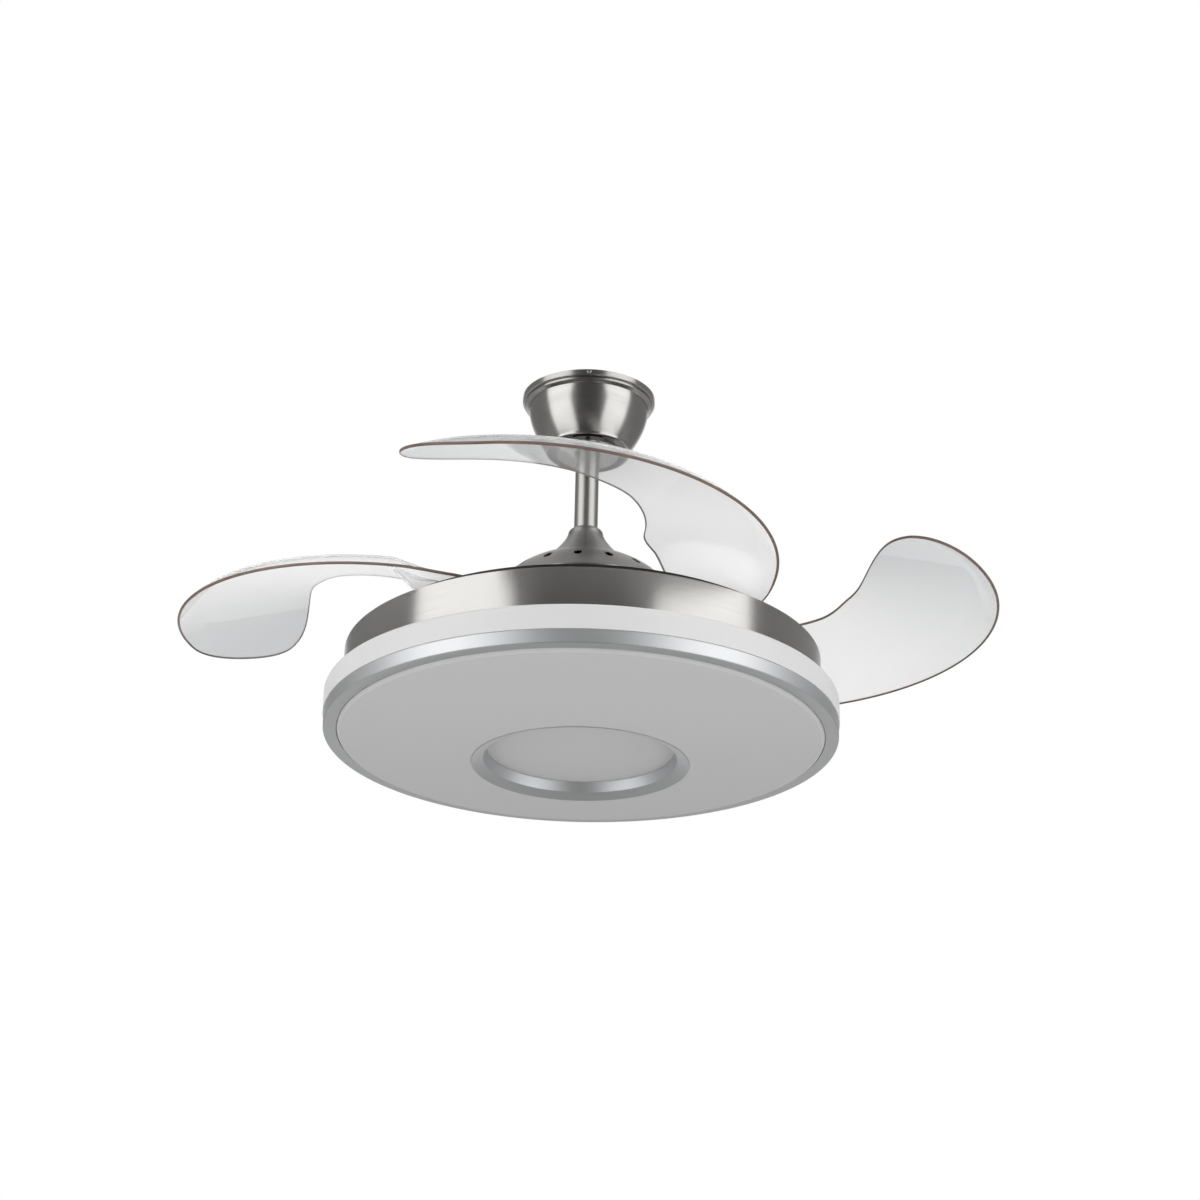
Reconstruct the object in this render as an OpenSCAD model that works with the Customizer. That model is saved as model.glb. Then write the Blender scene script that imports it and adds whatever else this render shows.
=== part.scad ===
// Retractable blade ceiling fan with a round light.
// Origin: the ceiling plane on the fan's axis. +Z points up, so the fan hangs below zero.
// The blades are drawn half open. Folding turns each one about its pivot until it lies over the light.

/* [Ceiling canopy] */
// Radius of the canopy at the ceiling
canopy_r = 72; // [66:0.5:90]
// Height of the stepped rim at the ceiling
canopy_rim_h = 11; // [10:0.5:16]
// Depth of the canopy below the ceiling
canopy_h = 62; // [58:1:80]
// Radius of the opening under the canopy
canopy_mouth_r = 43; // [41:0.5:45]
// Wall of the canopy
canopy_wall = 1.4; // [1:0.1:2.5]
// Radius of the cover disc on the rod
disc_r = 34.2; // [32:0.2:35]
// Radius of the hole in the cover disc
disc_hole_r = 13.9; // [13.4:0.1:15]

/* [Ceiling bracket] */
// Width of the hanging bracket
bracket_w = 50; // [46:1:60]
// Length of the bracket's ceiling plate
bracket_len = 112; // [104:1:120]
// Thickness of the bracket's steel
bracket_t = 2.5; // [2:0.1:4]
// Distance between the two ceiling slots
slot_pitch = 84; // [78:1:90]
// Width of a ceiling slot
slot_w = 5.5; // [4:0.1:7]
// Length of a ceiling slot
slot_len = 16; // [10:1:20]

/* [Hanger ball and rod] */
// Radius of the hanger ball
ball_r = 22; // [20:0.5:24]
// Depth of the ball's centre below the ceiling
ball_depth = 32; // [30:0.5:36]
// Radius of the downrod
rod_r = 12.65; // [11:0.05:13.5]
// Wall of the downrod
rod_wall = 2; // [1.5:0.1:3]
// Depth of the downrod's lower end
rod_end = 185; // [183:0.5:187]

/* [Motor] */
// Depth of the motor cover's crown
dome_top = 191.5; // [190.5:0.1:192.5]
// Radius of the fixed motor cover
dome_r = 100; // [99.8:0.1:101]
// Radius at which the motor cover's crown is curved
dome_curve_r = 104; // [100:1:110]
// Radius of the flat middle of the motor cover's crown
dome_flat_r = 13; // [10:0.5:16]
// Wall of the motor cover
dome_wall = 1.5; // [1:0.1:2.5]
// Number of air vents in the motor cover
vent_count = 16; // [8:1:18]
// Radius of the ring of vents
vent_ring_r = 83; // [70:0.5:88]
// Radius of the turning motor shell
shell_r = 99.6; // [97:0.1:99.8]
// Wall of the motor shell
shell_wall = 1.6; // [1.5:0.1:3]
// Radius of the fixed hollow shaft
shaft_r = 8; // [7:0.1:9]
// Bore of the hollow shaft
shaft_bore_r = 5; // [3:0.1:5.5]
// Number of stator teeth
stator_teeth = 12; // [9:3:18]
// Number of rotor magnets
magnet_count = 16; // [12:2:20]

/* [Blade carrier] */
// Radius of the turning tray
tray_r = 230; // [226:0.5:234]
// Depth of the top face of the tray's cover
tray_top = 297.7; // [296:0.1:299]
// Depth inside the tray
tray_depth = 11.3; // [10.5:0.1:13]
// Module of the gears that keep the blades together
gear_module = 2.5; // [2.4:0.05:2.55]
// Teeth on each blade gear
pinion_teeth = 24; // [24:4:24]
// Gap between the blade gears and the tray's wall
gear_gap = 6.25; // [5:0.25:8]
// Azimuth of the first blade pivot, measured towards the front
pivot_azimuth = 42.7; // [38:0.1:48]
// Radius of a pivot pin
pivot_pin_r = 5; // [4:0.1:6]
// Radius of a blade carrier's flange
flange_r = 26; // [22:0.5:28]

/* [Blades] */
// Inner radius of a folded blade
blade_in_r = 92; // [91.5:0.1:96]
// Outer radius of a folded blade
blade_out_r = 232; // [226:0.5:236]
// Radius on which a folded blade's tip lies
blade_tip_r = 181; // [175:0.5:190]
// Azimuth of a folded blade's tip
tip_azimuth = 200; // [185:1:205]
// Angle through which the half open blade folds in
fold_angle = 62; // [40:1:62]
// Angle through which the half open blade still swings out
swing_angle = 45; // [20:1:46]
// Hollow of the inner edge near the root, which clears the motor
blade_hollow = 7; // [6:0.1:9]
// Thickness of a blade
blade_t = 3; // [2:0.1:3.5]
// Climb of a blade over a quarter turn
blade_rise = 19.3; // [16:0.1:22]
// Fall of a blade towards its outer edge, per millimetre
blade_slope = 0.244; // [0.18:0.002:0.26]
// Height of the blade's inner edge at its start, above the tray
blade_lift = 54.6; // [52:0.1:57]
// Drop of the turned-down lip on the outer edge
blade_lip = 13; // [4:0.5:14]

/* [Light] */
// Radius of the brushed band
band_r = 249.6; // [246:0.1:254]
// Depth of the band's upper edge
band_top = 309.1; // [307:0.1:312]
// Height of the band
band_h = 46.2; // [44:0.1:50]
// Radius of the white side ring
side_r = 268.5; // [264:0.1:274]
// Height of the white side ring
side_h = 26.3; // [24:0.1:30]
// Radius of the silver rim
rim_r = 267.5; // [263:0.1:273]
// Height of the silver rim
rim_h = 14.4; // [12:0.1:18]
// Width of the silver rim's lower face
rim_face = 13.5; // [11:0.1:16]
// Depth of the diffuser's crown below the rim
diffuser_sag = 27.5; // [20:0.1:32]
// Outer radius of the trim ring
trim_r = 113.4; // [108:0.1:120]
// Width of the trim ring's sloping face
trim_face = 12.8; // [10:0.1:15]
// Depth of the recess inside the trim ring
recess_h = 15; // [12:0.1:18]
// Number of light emitting diodes on the large board
led_count = 48; // [24:8:48]

/* [Hidden] */
$fn = 96;
EPS = 0.01;            // overlap of solids that are joined into one piece
SEAT = 0.15;           // gap between parts that rest on each other
RUN = 0.3;             // gap between parts that move past each other
FIT = 0.05;            // radial gap of a shaft in its bore
QUARTERS = 4;          // blades on the fan
SHAPE_TURN = 65;       // turn from the frame the blade is drawn in to its half open place
VIEW_TURN = 0.8;       // turn of the rotor in the reference view

// Hanger
ball_z = -ball_depth;
seat_hole_r = ball_r * 0.8;
seat_z = ball_z - sqrt(ball_r * ball_r - seat_hole_r * seat_hole_r);
leg_x = ball_r + 4;
mouth_z = -canopy_h;
canopy_screw_h = 2.7;
ear_half = 7;
ear_y = sqrt(pow(canopy_r - canopy_wall - SEAT, 2) - ear_half * ear_half);
disc_z = mouth_z - 3;
ball_pin_r = 3;
cross_pin_r = 3;
cross_pin_z = -rod_end + 10;
set_screw_z = cross_pin_z + 8;

// Motor
seat_r = 42;
seat_top_z = dome_height(seat_r);
dome_edge_z = dome_height(dome_r);
dome_skirt_h = 4;
yoke_socket_r = rod_r + 3;
yoke_r = 40;
yoke_top_z = seat_top_z - dome_wall - SEAT;
yoke_plate_t = 6;
yoke_low_z = yoke_top_z - yoke_plate_t;
cover_screw_x = 30;
cone_top_z = 27.8 - rod_end;
cone_neck_r = 18.9;
cone_neck_z = cone_top_z - 5.7;
cone_foot_r = seat_r + 2;
shell_top_z = yoke_low_z - 2.4;
shell_shoulder_z = dome_edge_z - dome_skirt_h - 1;
shell_bottom_z = -tray_top;
shell_split_z = (shell_shoulder_z + shell_bottom_z) / 2;
bearing_r = 15;
bearing_w = 9;
upper_bearing_z = shell_top_z - shell_wall - SEAT - bearing_w;
lower_bearing_z = shell_bottom_z + shell_wall + SEAT;
magnet_gap = 0.8;
magnet_t = 5;
magnet_out_r = shell_r - shell_wall - SEAT;
stator_r = magnet_out_r - magnet_t - magnet_gap;
stator_h = 20;
stator_z = shell_split_z - stator_h / 2;
hub_boss_r = bearing_r + 5;
shell_screw_count = 6;
shell_screw_x = shell_r - shell_wall - 5.5;

// Blade carrier
tray_wall = 1.5;
pivot_r = tray_r - tray_wall - gear_gap - gear_module * (pinion_teeth / 2 + 0.9);
ring_pitch_r = pivot_r - gear_module * pinion_teeth / 2;
ring_teeth = 2 * ring_pitch_r / gear_module;
pivot_x = pivot_r * cos(pivot_azimuth);
pivot_y = pivot_r * sin(pivot_azimuth);
cover_t = 1.2;
tray_roof_z = -tray_top - cover_t;
tray_floor_z = tray_roof_z - tray_depth;
gear_t = 5;
gear_z = tray_floor_z + RUN;
gear_top_z = gear_z + gear_t;
ring_in_r = ring_pitch_r - 14;
guide_t = 3;
hub_r = 16;
blade_screw_x = 12.2;
blade_screw_r = 1.5;
carrier_z = -tray_top + 1.2;
carrier_t = 4;
blade_root_z = carrier_z + carrier_t + SEAT + blade_t / 2;
link_ratio = pinion_teeth / ring_teeth;
lug_half = 2;
lug_r = ring_in_r - 8;
inner_screw_r = ring_in_r - 18;
pin_head_r = 8;
pin_head_t = 1.5;
spring_in_r = hub_r + 1.2;
spring_wire = 2.4;

// Light
band_wall = 1.2;
chassis_r = band_r - band_wall - SEAT;
chassis_t = 1;
chassis_z = -band_top - 12.5;
band_bottom_z = -band_top - band_h;
side_bottom_z = band_bottom_z - side_h;
rim_bottom_z = side_bottom_z - rim_h;
side_wall = 2.5;
rim_wall = 1.5;
rim_in_r = rim_r - rim_face;
flange_top_z = band_bottom_z - side_wall - SEAT;
flange_out_r = side_r - 11;
led_plate_t = 1;
led_z = flange_top_z - chassis_t - SEAT;
led_board_z = led_z - led_plate_t - SEAT;
diffuser_t = 2;
diffuser_edge_r = rim_in_r - 1;
diffuser_in_r = trim_r + SEAT;
trim_flange_r = trim_r + 5.6;
diffuser_low_z = rim_bottom_z - diffuser_sag;
trim_in_r = trim_r - trim_face;
trim_rise = 4.8;
centre_z = diffuser_low_z + recess_h;
shaft_end_z = chassis_z - 14;
board_out_r = flange_out_r - 21.5;
board_in_r = trim_r + 16.6;
centre_board_r = trim_in_r - 20.6;
driver_x = (board_out_r + board_in_r) / 2 - 53;

// ---------- shared shapes ----------

// A tube between two heights
module tube(r_out, r_in, z_low, z_high)
    translate([0, 0, z_low])
        difference() {
            cylinder(r = r_out, h = z_high - z_low);
            translate([0, 0, -1]) cylinder(r = r_in, h = z_high - z_low + 2);
        }

// A plain round bar between two heights
module bar(r, z_low, z_high)
    translate([0, 0, z_low]) cylinder(r = r, h = z_high - z_low);

// A pan head screw whose head rests on z, with its shank pointing down
module screw(head_r, head_h, shank_r, shank_h) {
    cylinder(r = head_r, h = head_h);
    translate([0, 0, -shank_h]) cylinder(r = shank_r, h = shank_h + EPS);
}

// Copies around the axis
module around(count, start = 0)
    for (i = [0 : count - 1]) rotate([0, 0, start + i * 360 / count]) children();

// Blade number n: the frame of its pivot, with the blade folded by "turn" from its place over the light
module at_pivot(n, turn = 0)
    rotate([0, 0, -90 * n - VIEW_TURN])
        translate([pivot_x, -pivot_y, 0])
            rotate([0, 0, turn]) children();

// ---------- ceiling bracket and canopy ----------

module slot_cut(x)
    for (s = [-1, 1]) {
        translate([x + s * (slot_len - slot_w) / 2, 0, -bracket_t - 1])
            cylinder(d = slot_w, h = bracket_t + 2);
        translate([x - (slot_len - slot_w) / 2, -slot_w / 2, -bracket_t - 1])
            cube([slot_len - slot_w, slot_w, bracket_t + 2]);
    }

module ceiling_bracket() color("silver") {
    leg_bottom = seat_z - bracket_t;
    difference() {
        union() {
            translate([-bracket_len / 2, -bracket_w / 2, -bracket_t])
                cube([bracket_len, bracket_w, bracket_t]);
            for (s = [-1, 1])
                translate([s * (leg_x + bracket_t / 2) - bracket_t / 2, -bracket_w / 2 + 8, leg_bottom])
                    cube([bracket_t, bracket_w - 16, -leg_bottom]);
            translate([-leg_x - bracket_t, -bracket_w / 2 + 8, leg_bottom])
                cube([2 * (leg_x + bracket_t), bracket_w - 16, bracket_t + 3]);
        }
        for (s = [-1, 1]) slot_cut(s * slot_pitch / 2);
        translate([0, 0, leg_bottom - 1]) cylinder(r = seat_hole_r - 0.4, h = bracket_t + 6);
        translate([0, 0, ball_z]) sphere(r = ball_r + FIT);
        translate([0, 0, -bracket_t - 1]) cylinder(r = 12, h = bracket_t + 2);
    }
    for (s = [-1, 1])
        translate([0, s * ear_y, 0]) rotate([0, 0, s > 0 ? 180 : 0]) canopy_ear();
}

// The bent ear that takes a canopy screw
module canopy_ear() {
    reach = ear_y - bracket_w / 2;
    difference() {
        union() {
            translate([-ear_half, 0, -bracket_t]) cube([2 * ear_half, reach + 1, bracket_t]);
            translate([-4, 0, -5]) cube([8, bracket_t, 5]);
        }
        translate([0, -1, -canopy_screw_h]) rotate([-90, 0, 0]) cylinder(r = 1.95, h = 8);
    }
}

// Outer radius of the bowl at depth d below its upper edge
bowl_top_z = -canopy_rim_h - 1;
function bowl_r(d) = canopy_r - 7 - 16.8 * pow(d / 45, 1.83);

module canopy() color("silver")
    difference() {
        rotate_extrude() {
            steps = 14;
            bowl = canopy_h - canopy_rim_h - 3;
            polygon(concat(
                [[canopy_r - canopy_wall, 0], [canopy_r, 0], [canopy_r, -5.6], [canopy_r - 0.5, -6.2],
                 [canopy_r - 3.6, -7.2], [canopy_r - 3.6, -7.8], [canopy_r - 2.4, -8.5],
                 [canopy_r - 2.4, -9.6], [canopy_r - 3, -10.2], [canopy_r - 5.4, -canopy_rim_h]],
                [for (i = [0 : steps]) [bowl_r(bowl * i / steps), bowl_top_z - bowl * i / steps]],
                [[45.6, mouth_z - 0.6], [44.6, mouth_z - 1.2], [canopy_mouth_r, mouth_z - 0.4],
                 [canopy_mouth_r, mouth_z + 1], [44, mouth_z + 2]],
                [for (i = [steps : -1 : 0])
                    [bowl_r(bowl * i / steps) - canopy_wall, bowl_top_z + 0.8 - bowl * i / steps]],
                [[canopy_r - 5.4 - canopy_wall, -canopy_rim_h + 0.8],
                 [canopy_r - 3.7 - canopy_wall, -9.4],
                 [canopy_r - 3.7 - canopy_wall, -6.6], [canopy_r - canopy_wall, -5.4]]));
        }
        for (s = [-1, 1])
            translate([0, s * (canopy_r - 12), -canopy_screw_h])
                rotate([-90 * s, 0, 0]) cylinder(r = 2.1, h = 18);
    }

module canopy_screws() color("lightgray")
    for (s = [-1, 1])
        translate([0, s * (canopy_r + SEAT), -canopy_screw_h])
            rotate([-90 * s, 0, 0]) screw(2.4, 1.5, 1.6, canopy_wall + bracket_t + 4);

module rod_cover_disc() color("silver")
    rotate_extrude()
        polygon([[disc_hole_r, disc_z], [disc_r - 0.5, disc_z], [disc_r, disc_z + 0.5],
                 [disc_r, disc_z + 4], [disc_r - 1.2, disc_z + 4], [disc_r - 1.2, disc_z + 1.2],
                 [disc_hole_r + 1.2, disc_z + 1.2], [rod_r + 1.4, disc_z + 3],
                 [rod_r + 1.4, disc_z + 7], [rod_r + FIT, disc_z + 7], [rod_r + FIT, disc_z + 2.4],
                 [disc_hole_r - 0.4, disc_z + 1.2]]);

module terminal_block() color("ivory")
    translate([leg_x + bracket_t + SEAT, -11, -bracket_t - 26]) {
        cube([11, 22, 26 - SEAT]);
        for (i = [0 : 2]) translate([11 - EPS, 3 + i * 6, 4]) cube([2, 4, 14]);
    }

// ---------- hanger ball and rod ----------

module hanger_ball() color("dimgray")
    difference() {
        intersection() {
            translate([0, 0, ball_z]) sphere(r = ball_r);
            translate([0, 0, ball_z - ball_r + 4]) cylinder(r = ball_r + 1, h = 2 * ball_r - 10);
        }
        bar(rod_r + FIT, ball_z - ball_r - 1, ball_z + ball_r + 1);
        translate([0, 0, ball_z + 4]) rotate([90, 0, 0])
            cylinder(r = ball_pin_r + FIT, h = 3 * ball_r, center = true);
    }

module ball_pin() color("lightgray")
    translate([0, 0, ball_z + 4]) rotate([90, 0, 0])
        cylinder(r = ball_pin_r, h = 2 * (ball_r - 3), center = true);

module downrod() color("silver")
    difference() {
        tube(rod_r, rod_r - rod_wall, -rod_end, ball_z + ball_r - 8);
        translate([0, 0, ball_z + 4]) rotate([90, 0, 0])
            cylinder(r = ball_pin_r + FIT, h = 4 * rod_r, center = true);
        translate([0, 0, cross_pin_z]) rotate([90, 0, 0])
            cylinder(r = cross_pin_r + FIT, h = 4 * rod_r, center = true);
    }

module rod_cross_pin() color("lightgray")
    translate([0, 0, cross_pin_z]) rotate([90, 0, 0]) difference() {
        union() {
            cylinder(r = cross_pin_r, h = 2 * yoke_socket_r + 4, center = true);
            translate([0, 0, -yoke_socket_r - 2.4]) cylinder(r = cross_pin_r + 1.1, h = 1.2);
        }
        translate([0, 0, yoke_socket_r + 1]) rotate([0, 90, 0])
            cylinder(r = 0.7, h = 3 * cross_pin_r, center = true);
    }

module cross_pin_clip() color("lightgray")
    translate([0, -yoke_socket_r - 1, cross_pin_z]) rotate([0, 90, 0])
        union() {
            cylinder(r = 0.6, h = 2 * cross_pin_r + 2, center = true);
            translate([0, 0, cross_pin_r + 1]) sphere(r = 1.1);
        }

// ---------- motor ----------

module motor_yoke() color("dimgray")
    difference() {
        union() {
            bar(yoke_r, yoke_low_z, yoke_top_z);
            bar(yoke_socket_r, yoke_top_z - 1, set_screw_z + 5);
        }
        bar(rod_r + FIT, -rod_end - SEAT, set_screw_z + 6);
        bar(shaft_r + FIT, yoke_low_z - 1, -rod_end + 1);
        translate([0, 0, cross_pin_z]) rotate([90, 0, 0])
            cylinder(r = cross_pin_r + FIT, h = 4 * rod_r, center = true);
        translate([0, 0, set_screw_z]) rotate([0, 90, 0]) cylinder(r = 2.5 + FIT, h = 3 * rod_r);
        around(3) bar_at(cover_screw_x, 1.7 + FIT, yoke_low_z - 1, yoke_top_z + 1);
    }

// Grub screw that locks the rod in the yoke's socket
module yoke_set_screw() color("lightgray")
    translate([rod_r + SEAT, 0, set_screw_z]) rotate([0, 90, 0]) difference() {
        cylinder(r = 2.5, h = 4.4);
        translate([0, 0, 2.4]) cylinder(r = 1.3, h = 4, $fn = 6);
    }

module coupling_cover() color("silver")
    rotate_extrude() {
        steps = 12;
        foot_z = dome_height(cone_foot_r) + SEAT + 0.1;
        foot_in_z = dome_height(cone_foot_r - 1.9) + SEAT + 0.1;
        polygon(concat(
            [[rod_r + 0.35, cone_top_z], [rod_r + 2.6, cone_top_z - 0.2], [17.4, cone_top_z - 1.9],
             [18.5, cone_top_z - 3.8]],
            [for (i = [0 : steps]) flare(i / steps, cone_neck_r, cone_neck_z, cone_foot_r, foot_z)],
            [for (i = [steps : -1 : 0])
                flare(i / steps, cone_neck_r - 1.6, cone_neck_z, cone_foot_r - 1.9, foot_in_z)],
            [[rod_r + 3.2, cone_top_z - 2.4], [rod_r + 0.35, cone_top_z - 1.6]]));
    }

// A concave flare from (r0, z0) to (r1, z1)
function flare(t, r0, z0, r1, z1) = [r0 + (r1 - r0) * pow(t, 1.4), z0 + (z1 - z0) * t];

// Height of the motor cover's crown at radius r
function dome_height(r) =
    -dome_top - dome_curve_r + sqrt(pow(dome_curve_r, 2) - pow(max(0, r - dome_flat_r), 2));

module motor_top_cover() color("silver")
    difference() {
        rotate_extrude() {
            steps = 16;
            wide = dome_r - seat_r;
            polygon(concat(
                [[yoke_socket_r + 0.4, seat_top_z]],
                [for (i = [0 : steps])
                    let (r = seat_r + wide * i / steps) [r, dome_height(r)]],
                [[dome_r, dome_edge_z - dome_skirt_h], [dome_r - dome_wall, dome_edge_z - dome_skirt_h]],
                [for (i = [steps : -1 : 0])
                    let (r = seat_r + (wide - dome_wall) * i / steps) [r, dome_height(r) - dome_wall]],
                [[yoke_socket_r + 0.4, seat_top_z - dome_wall]]));
        }
        around(3) bar_at(cover_screw_x, 1.7 + FIT, seat_top_z - 5, seat_top_z + 5);
        around(vent_count, -95)
            translate([vent_ring_r, 0, dome_height(vent_ring_r)])
                rotate([0, asin((vent_ring_r - dome_flat_r) / dome_curve_r), 0]) vent_cut();
    }

// An oval vent, cut along z
module vent_cut() {
    for (s = [-1, 1]) translate([s * 2.5, 0, -6]) cylinder(r = 4, h = 12);
    translate([-2.5, -4, -6]) cube([5, 8, 12]);
}

// Screws that hold the motor cover on the yoke, hidden by the coupling cover
module cover_screws() color("lightgray")
    around(3) translate([cover_screw_x, 0, seat_top_z + SEAT])
        screw(3.4, 1.8, 1.7, yoke_plate_t + dome_wall - 1);

module motor_shaft() color("gray")
    difference() {
        union() {
            bar(shaft_r, shaft_end_z, -rod_end - 2);
            bar(shaft_r + 3, upper_bearing_z + bearing_w + RUN, yoke_low_z - SEAT);
        }
        bar(shaft_bore_r, shaft_end_z - 1, -rod_end);
    }

module stator_core() color("darkgray")
    difference() {
        translate([0, 0, stator_z]) linear_extrude(stator_h) union() {
            circle(r = 26);
            around(stator_teeth) {
                translate([20, -4, 0]) square([stator_r - 24, 8]);
                intersection() {
                    difference() { circle(r = stator_r); circle(r = stator_r - 5); }
                    translate([0, -stator_r * sin(180 / stator_teeth) + 1.5, 0])
                        square([stator_r + 1, 2 * stator_r * sin(180 / stator_teeth) - 3]);
                }
            }
        }
        bar(shaft_r + FIT, stator_z - 1, stator_z + stator_h + 1);
    }

module stator_windings() color("chocolate")
    around(stator_teeth)
        translate([0, 0, stator_z + stator_h / 2]) difference() {
            translate([30, -7, -stator_h / 2 - 5]) cube([stator_r - 38, 14, stator_h + 10]);
            translate([29, -4 - SEAT, -stator_h / 2 - SEAT])
                cube([stator_r - 30, 8 + 2 * SEAT, stator_h + 2 * SEAT]);
        }

// A ball bearing between two heights, drawn as one closed ring
module bearing(z_low)
    rotate_extrude()
        polygon([[shaft_r + FIT, z_low], [bearing_r - 4.5, z_low], [bearing_r - 4.2, z_low + 0.6],
                 [bearing_r - 2.3, z_low + 0.6], [bearing_r - 2, z_low], [bearing_r, z_low],
                 [bearing_r, z_low + bearing_w], [bearing_r - 2, z_low + bearing_w],
                 [bearing_r - 2.3, z_low + bearing_w - 0.6], [bearing_r - 4.2, z_low + bearing_w - 0.6],
                 [bearing_r - 4.5, z_low + bearing_w], [shaft_r + FIT, z_low + bearing_w]]);

module upper_bearing() color("gainsboro") bearing(upper_bearing_z);
module lower_bearing() color("gainsboro") bearing(lower_bearing_z);

module motor_shell_upper() color("silver")
    difference() {
        union() {
            rotate_extrude()
                polygon([[shaft_r + 4, shell_top_z - shell_wall], [shaft_r + 4, shell_top_z],
                         [60, shell_top_z], [72, shell_top_z - 9], [shell_r - 5, shell_shoulder_z + 0.3],
                         [shell_r, shell_shoulder_z], [shell_r, shell_split_z + SEAT / 2],
                         [shell_r - shell_wall, shell_split_z + SEAT / 2],
                         [shell_r - shell_wall, shell_shoulder_z - 0.94 * shell_wall],
                         [shell_r - 5 - 0.51 * shell_wall, shell_shoulder_z + 0.3 - 0.97 * shell_wall],
                         [72 - 0.7 * shell_wall, shell_top_z - 9 - 0.72 * shell_wall],
                         [60 - 0.33 * shell_wall, shell_top_z - shell_wall]]);
            tube(hub_boss_r, bearing_r + FIT, upper_bearing_z, shell_top_z - 1);
        }
        around(8) bar_at(43, 5, shell_top_z - 6, shell_top_z + 2);
    }

module motor_shell_lower() color("silver")
    difference() {
        union() {
            tube(shell_r, shell_r - shell_wall, shell_bottom_z, shell_split_z - SEAT / 2);
            tube(shell_r - 1, shaft_r + 4, shell_bottom_z, shell_bottom_z + shell_wall);
            tube(hub_boss_r, bearing_r + FIT, shell_bottom_z + 1, lower_bearing_z + bearing_w);
            around(shell_screw_count)
                bar_at(shell_screw_x, 4.5, shell_bottom_z + 1, shell_bottom_z + 12);
        }
        around(shell_screw_count)
            bar_at(shell_screw_x, 2 + FIT, shell_bottom_z - 1, shell_bottom_z + 13);
    }

module rotor_magnets() color("dimgray")
    around(magnet_count)
        intersection() {
            tube(magnet_out_r, magnet_out_r - magnet_t,
                 shell_split_z - 14, shell_split_z + 14);
            rotate([0, 0, -180 / magnet_count + 1])
                translate([0, 0, shell_split_z - 20]) wedge(stator_r + 20, 360 / magnet_count - 2, 40);
        }

// A pie slice of the given angle
module wedge(r, angle, h)
    linear_extrude(h) polygon([[0, 0], [r, 0], [r * cos(angle / 2), r * sin(angle / 2)] * 1.02,
                               [r * cos(angle), r * sin(angle)]]);

module shell_screws() color("lightgray")
    around(shell_screw_count)
        translate([shell_screw_x, 0, tray_floor_z - tray_wall - SEAT])
            mirror([0, 0, 1]) screw(4, 2.4, 2, -tray_floor_z + tray_wall + shell_bottom_z + 9);

// ---------- blade tray and linking gears ----------

// Straight-flanked gear teeth from number a to number b, on a disc of the root radius
module gear_outline(teeth, a, b) {
    pitch_r = gear_module * teeth / 2;
    root_r = pitch_r - 1.2 * gear_module;
    tip_r = pitch_r + 0.9 * gear_module;
    step = 360 / teeth;
    circle(r = root_r + 0.1);
    for (i = [a : b]) rotate([0, 0, i * step])
        polygon([[root_r - 1, -0.30 * step * PI / 180 * pitch_r], [root_r, -0.30 * step * PI / 180 * pitch_r],
                 [tip_r, -0.12 * step * PI / 180 * pitch_r], [tip_r, 0.12 * step * PI / 180 * pitch_r],
                 [root_r, 0.30 * step * PI / 180 * pitch_r], [root_r - 1, 0.30 * step * PI / 180 * pitch_r]]);
}

module blade_tray() color([0.07, 0.07, 0.08])
    difference() {
        union() {
            tube(tray_r, shaft_r + 14, tray_floor_z - tray_wall, tray_floor_z);
            tube(tray_r, tray_r - tray_wall, tray_floor_z - EPS, tray_roof_z);
            tube(ring_in_r - RUN, ring_in_r - RUN - guide_t, tray_floor_z - EPS, gear_top_z + 1);
            tube(shell_r - 1, shell_r - 14, tray_floor_z - EPS, shell_bottom_z - SEAT);
            around(8, 22.5) bar_at(tray_r - 8, 4.5, tray_floor_z - EPS, tray_roof_z);
            around(4, 60) bar_at(inner_screw_r, 4.5, tray_floor_z - EPS, tray_roof_z);
        }
        around(shell_screw_count)
            bar_at(shell_screw_x, 2 + FIT, tray_floor_z - tray_wall - 1, shell_bottom_z + 1);
        for (n = [0 : QUARTERS - 1]) at_pivot(n)
            bar(pivot_pin_r - 0.5 + FIT, tray_floor_z - tray_wall - 1, tray_floor_z + 1);
        around(8, 22.5) bar_at(tray_r - 8, 1.6 + FIT, tray_floor_z + 2, tray_roof_z + 1);
        around(4, 60) bar_at(inner_screw_r, 1.6 + FIT, tray_floor_z + 2, tray_roof_z + 1);
        around(QUARTERS, lug_azimuth()) tray_stop_gap();
    }

module bar_at(x, r, z_low, z_high)
    translate([x, 0, 0]) bar(r, z_low, z_high);

// Azimuth of the first stop lug at rest
function lug_azimuth() = -pivot_azimuth - VIEW_TURN + 45;

// Window in the guide wall through which a lug of the linking ring reaches inwards
module tray_stop_gap() {
    low = -swing_angle * link_ratio - lug_half - 6;
    high = fold_angle * link_ratio + lug_half + 6;
    intersection() {
        tube(ring_in_r + 1, ring_in_r - RUN - guide_t - 1, tray_floor_z, gear_top_z + 2);
        translate([0, 0, tray_floor_z]) rotate([0, 0, low]) wedge(ring_in_r + 6, high - low, 20);
    }
}

module tray_cover() color([0.07, 0.07, 0.08])
    difference() {
        tube(tray_r, shell_r + 0.6, tray_roof_z + SEAT, -tray_top);
        for (n = [0 : QUARTERS - 1]) at_pivot(n) bar(hub_r + 1.5, tray_roof_z - 1, -tray_top + 1);
        around(8, 22.5) bar_at(tray_r - 8, 1.6 + FIT, tray_roof_z - 1, -tray_top + 1);
        around(4, 60) bar_at(inner_screw_r, 1.6 + FIT, tray_roof_z - 1, -tray_top + 1);
    }

module tray_screws() color("dimgray") {
    around(8, 22.5) translate([tray_r - 8, 0, -tray_top + SEAT]) screw(3.2, 1.6, 1.6, 7);
    around(4, 60) translate([inner_screw_r, 0, -tray_top + SEAT]) screw(3.2, 1.6, 1.6, 7);
}

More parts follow.
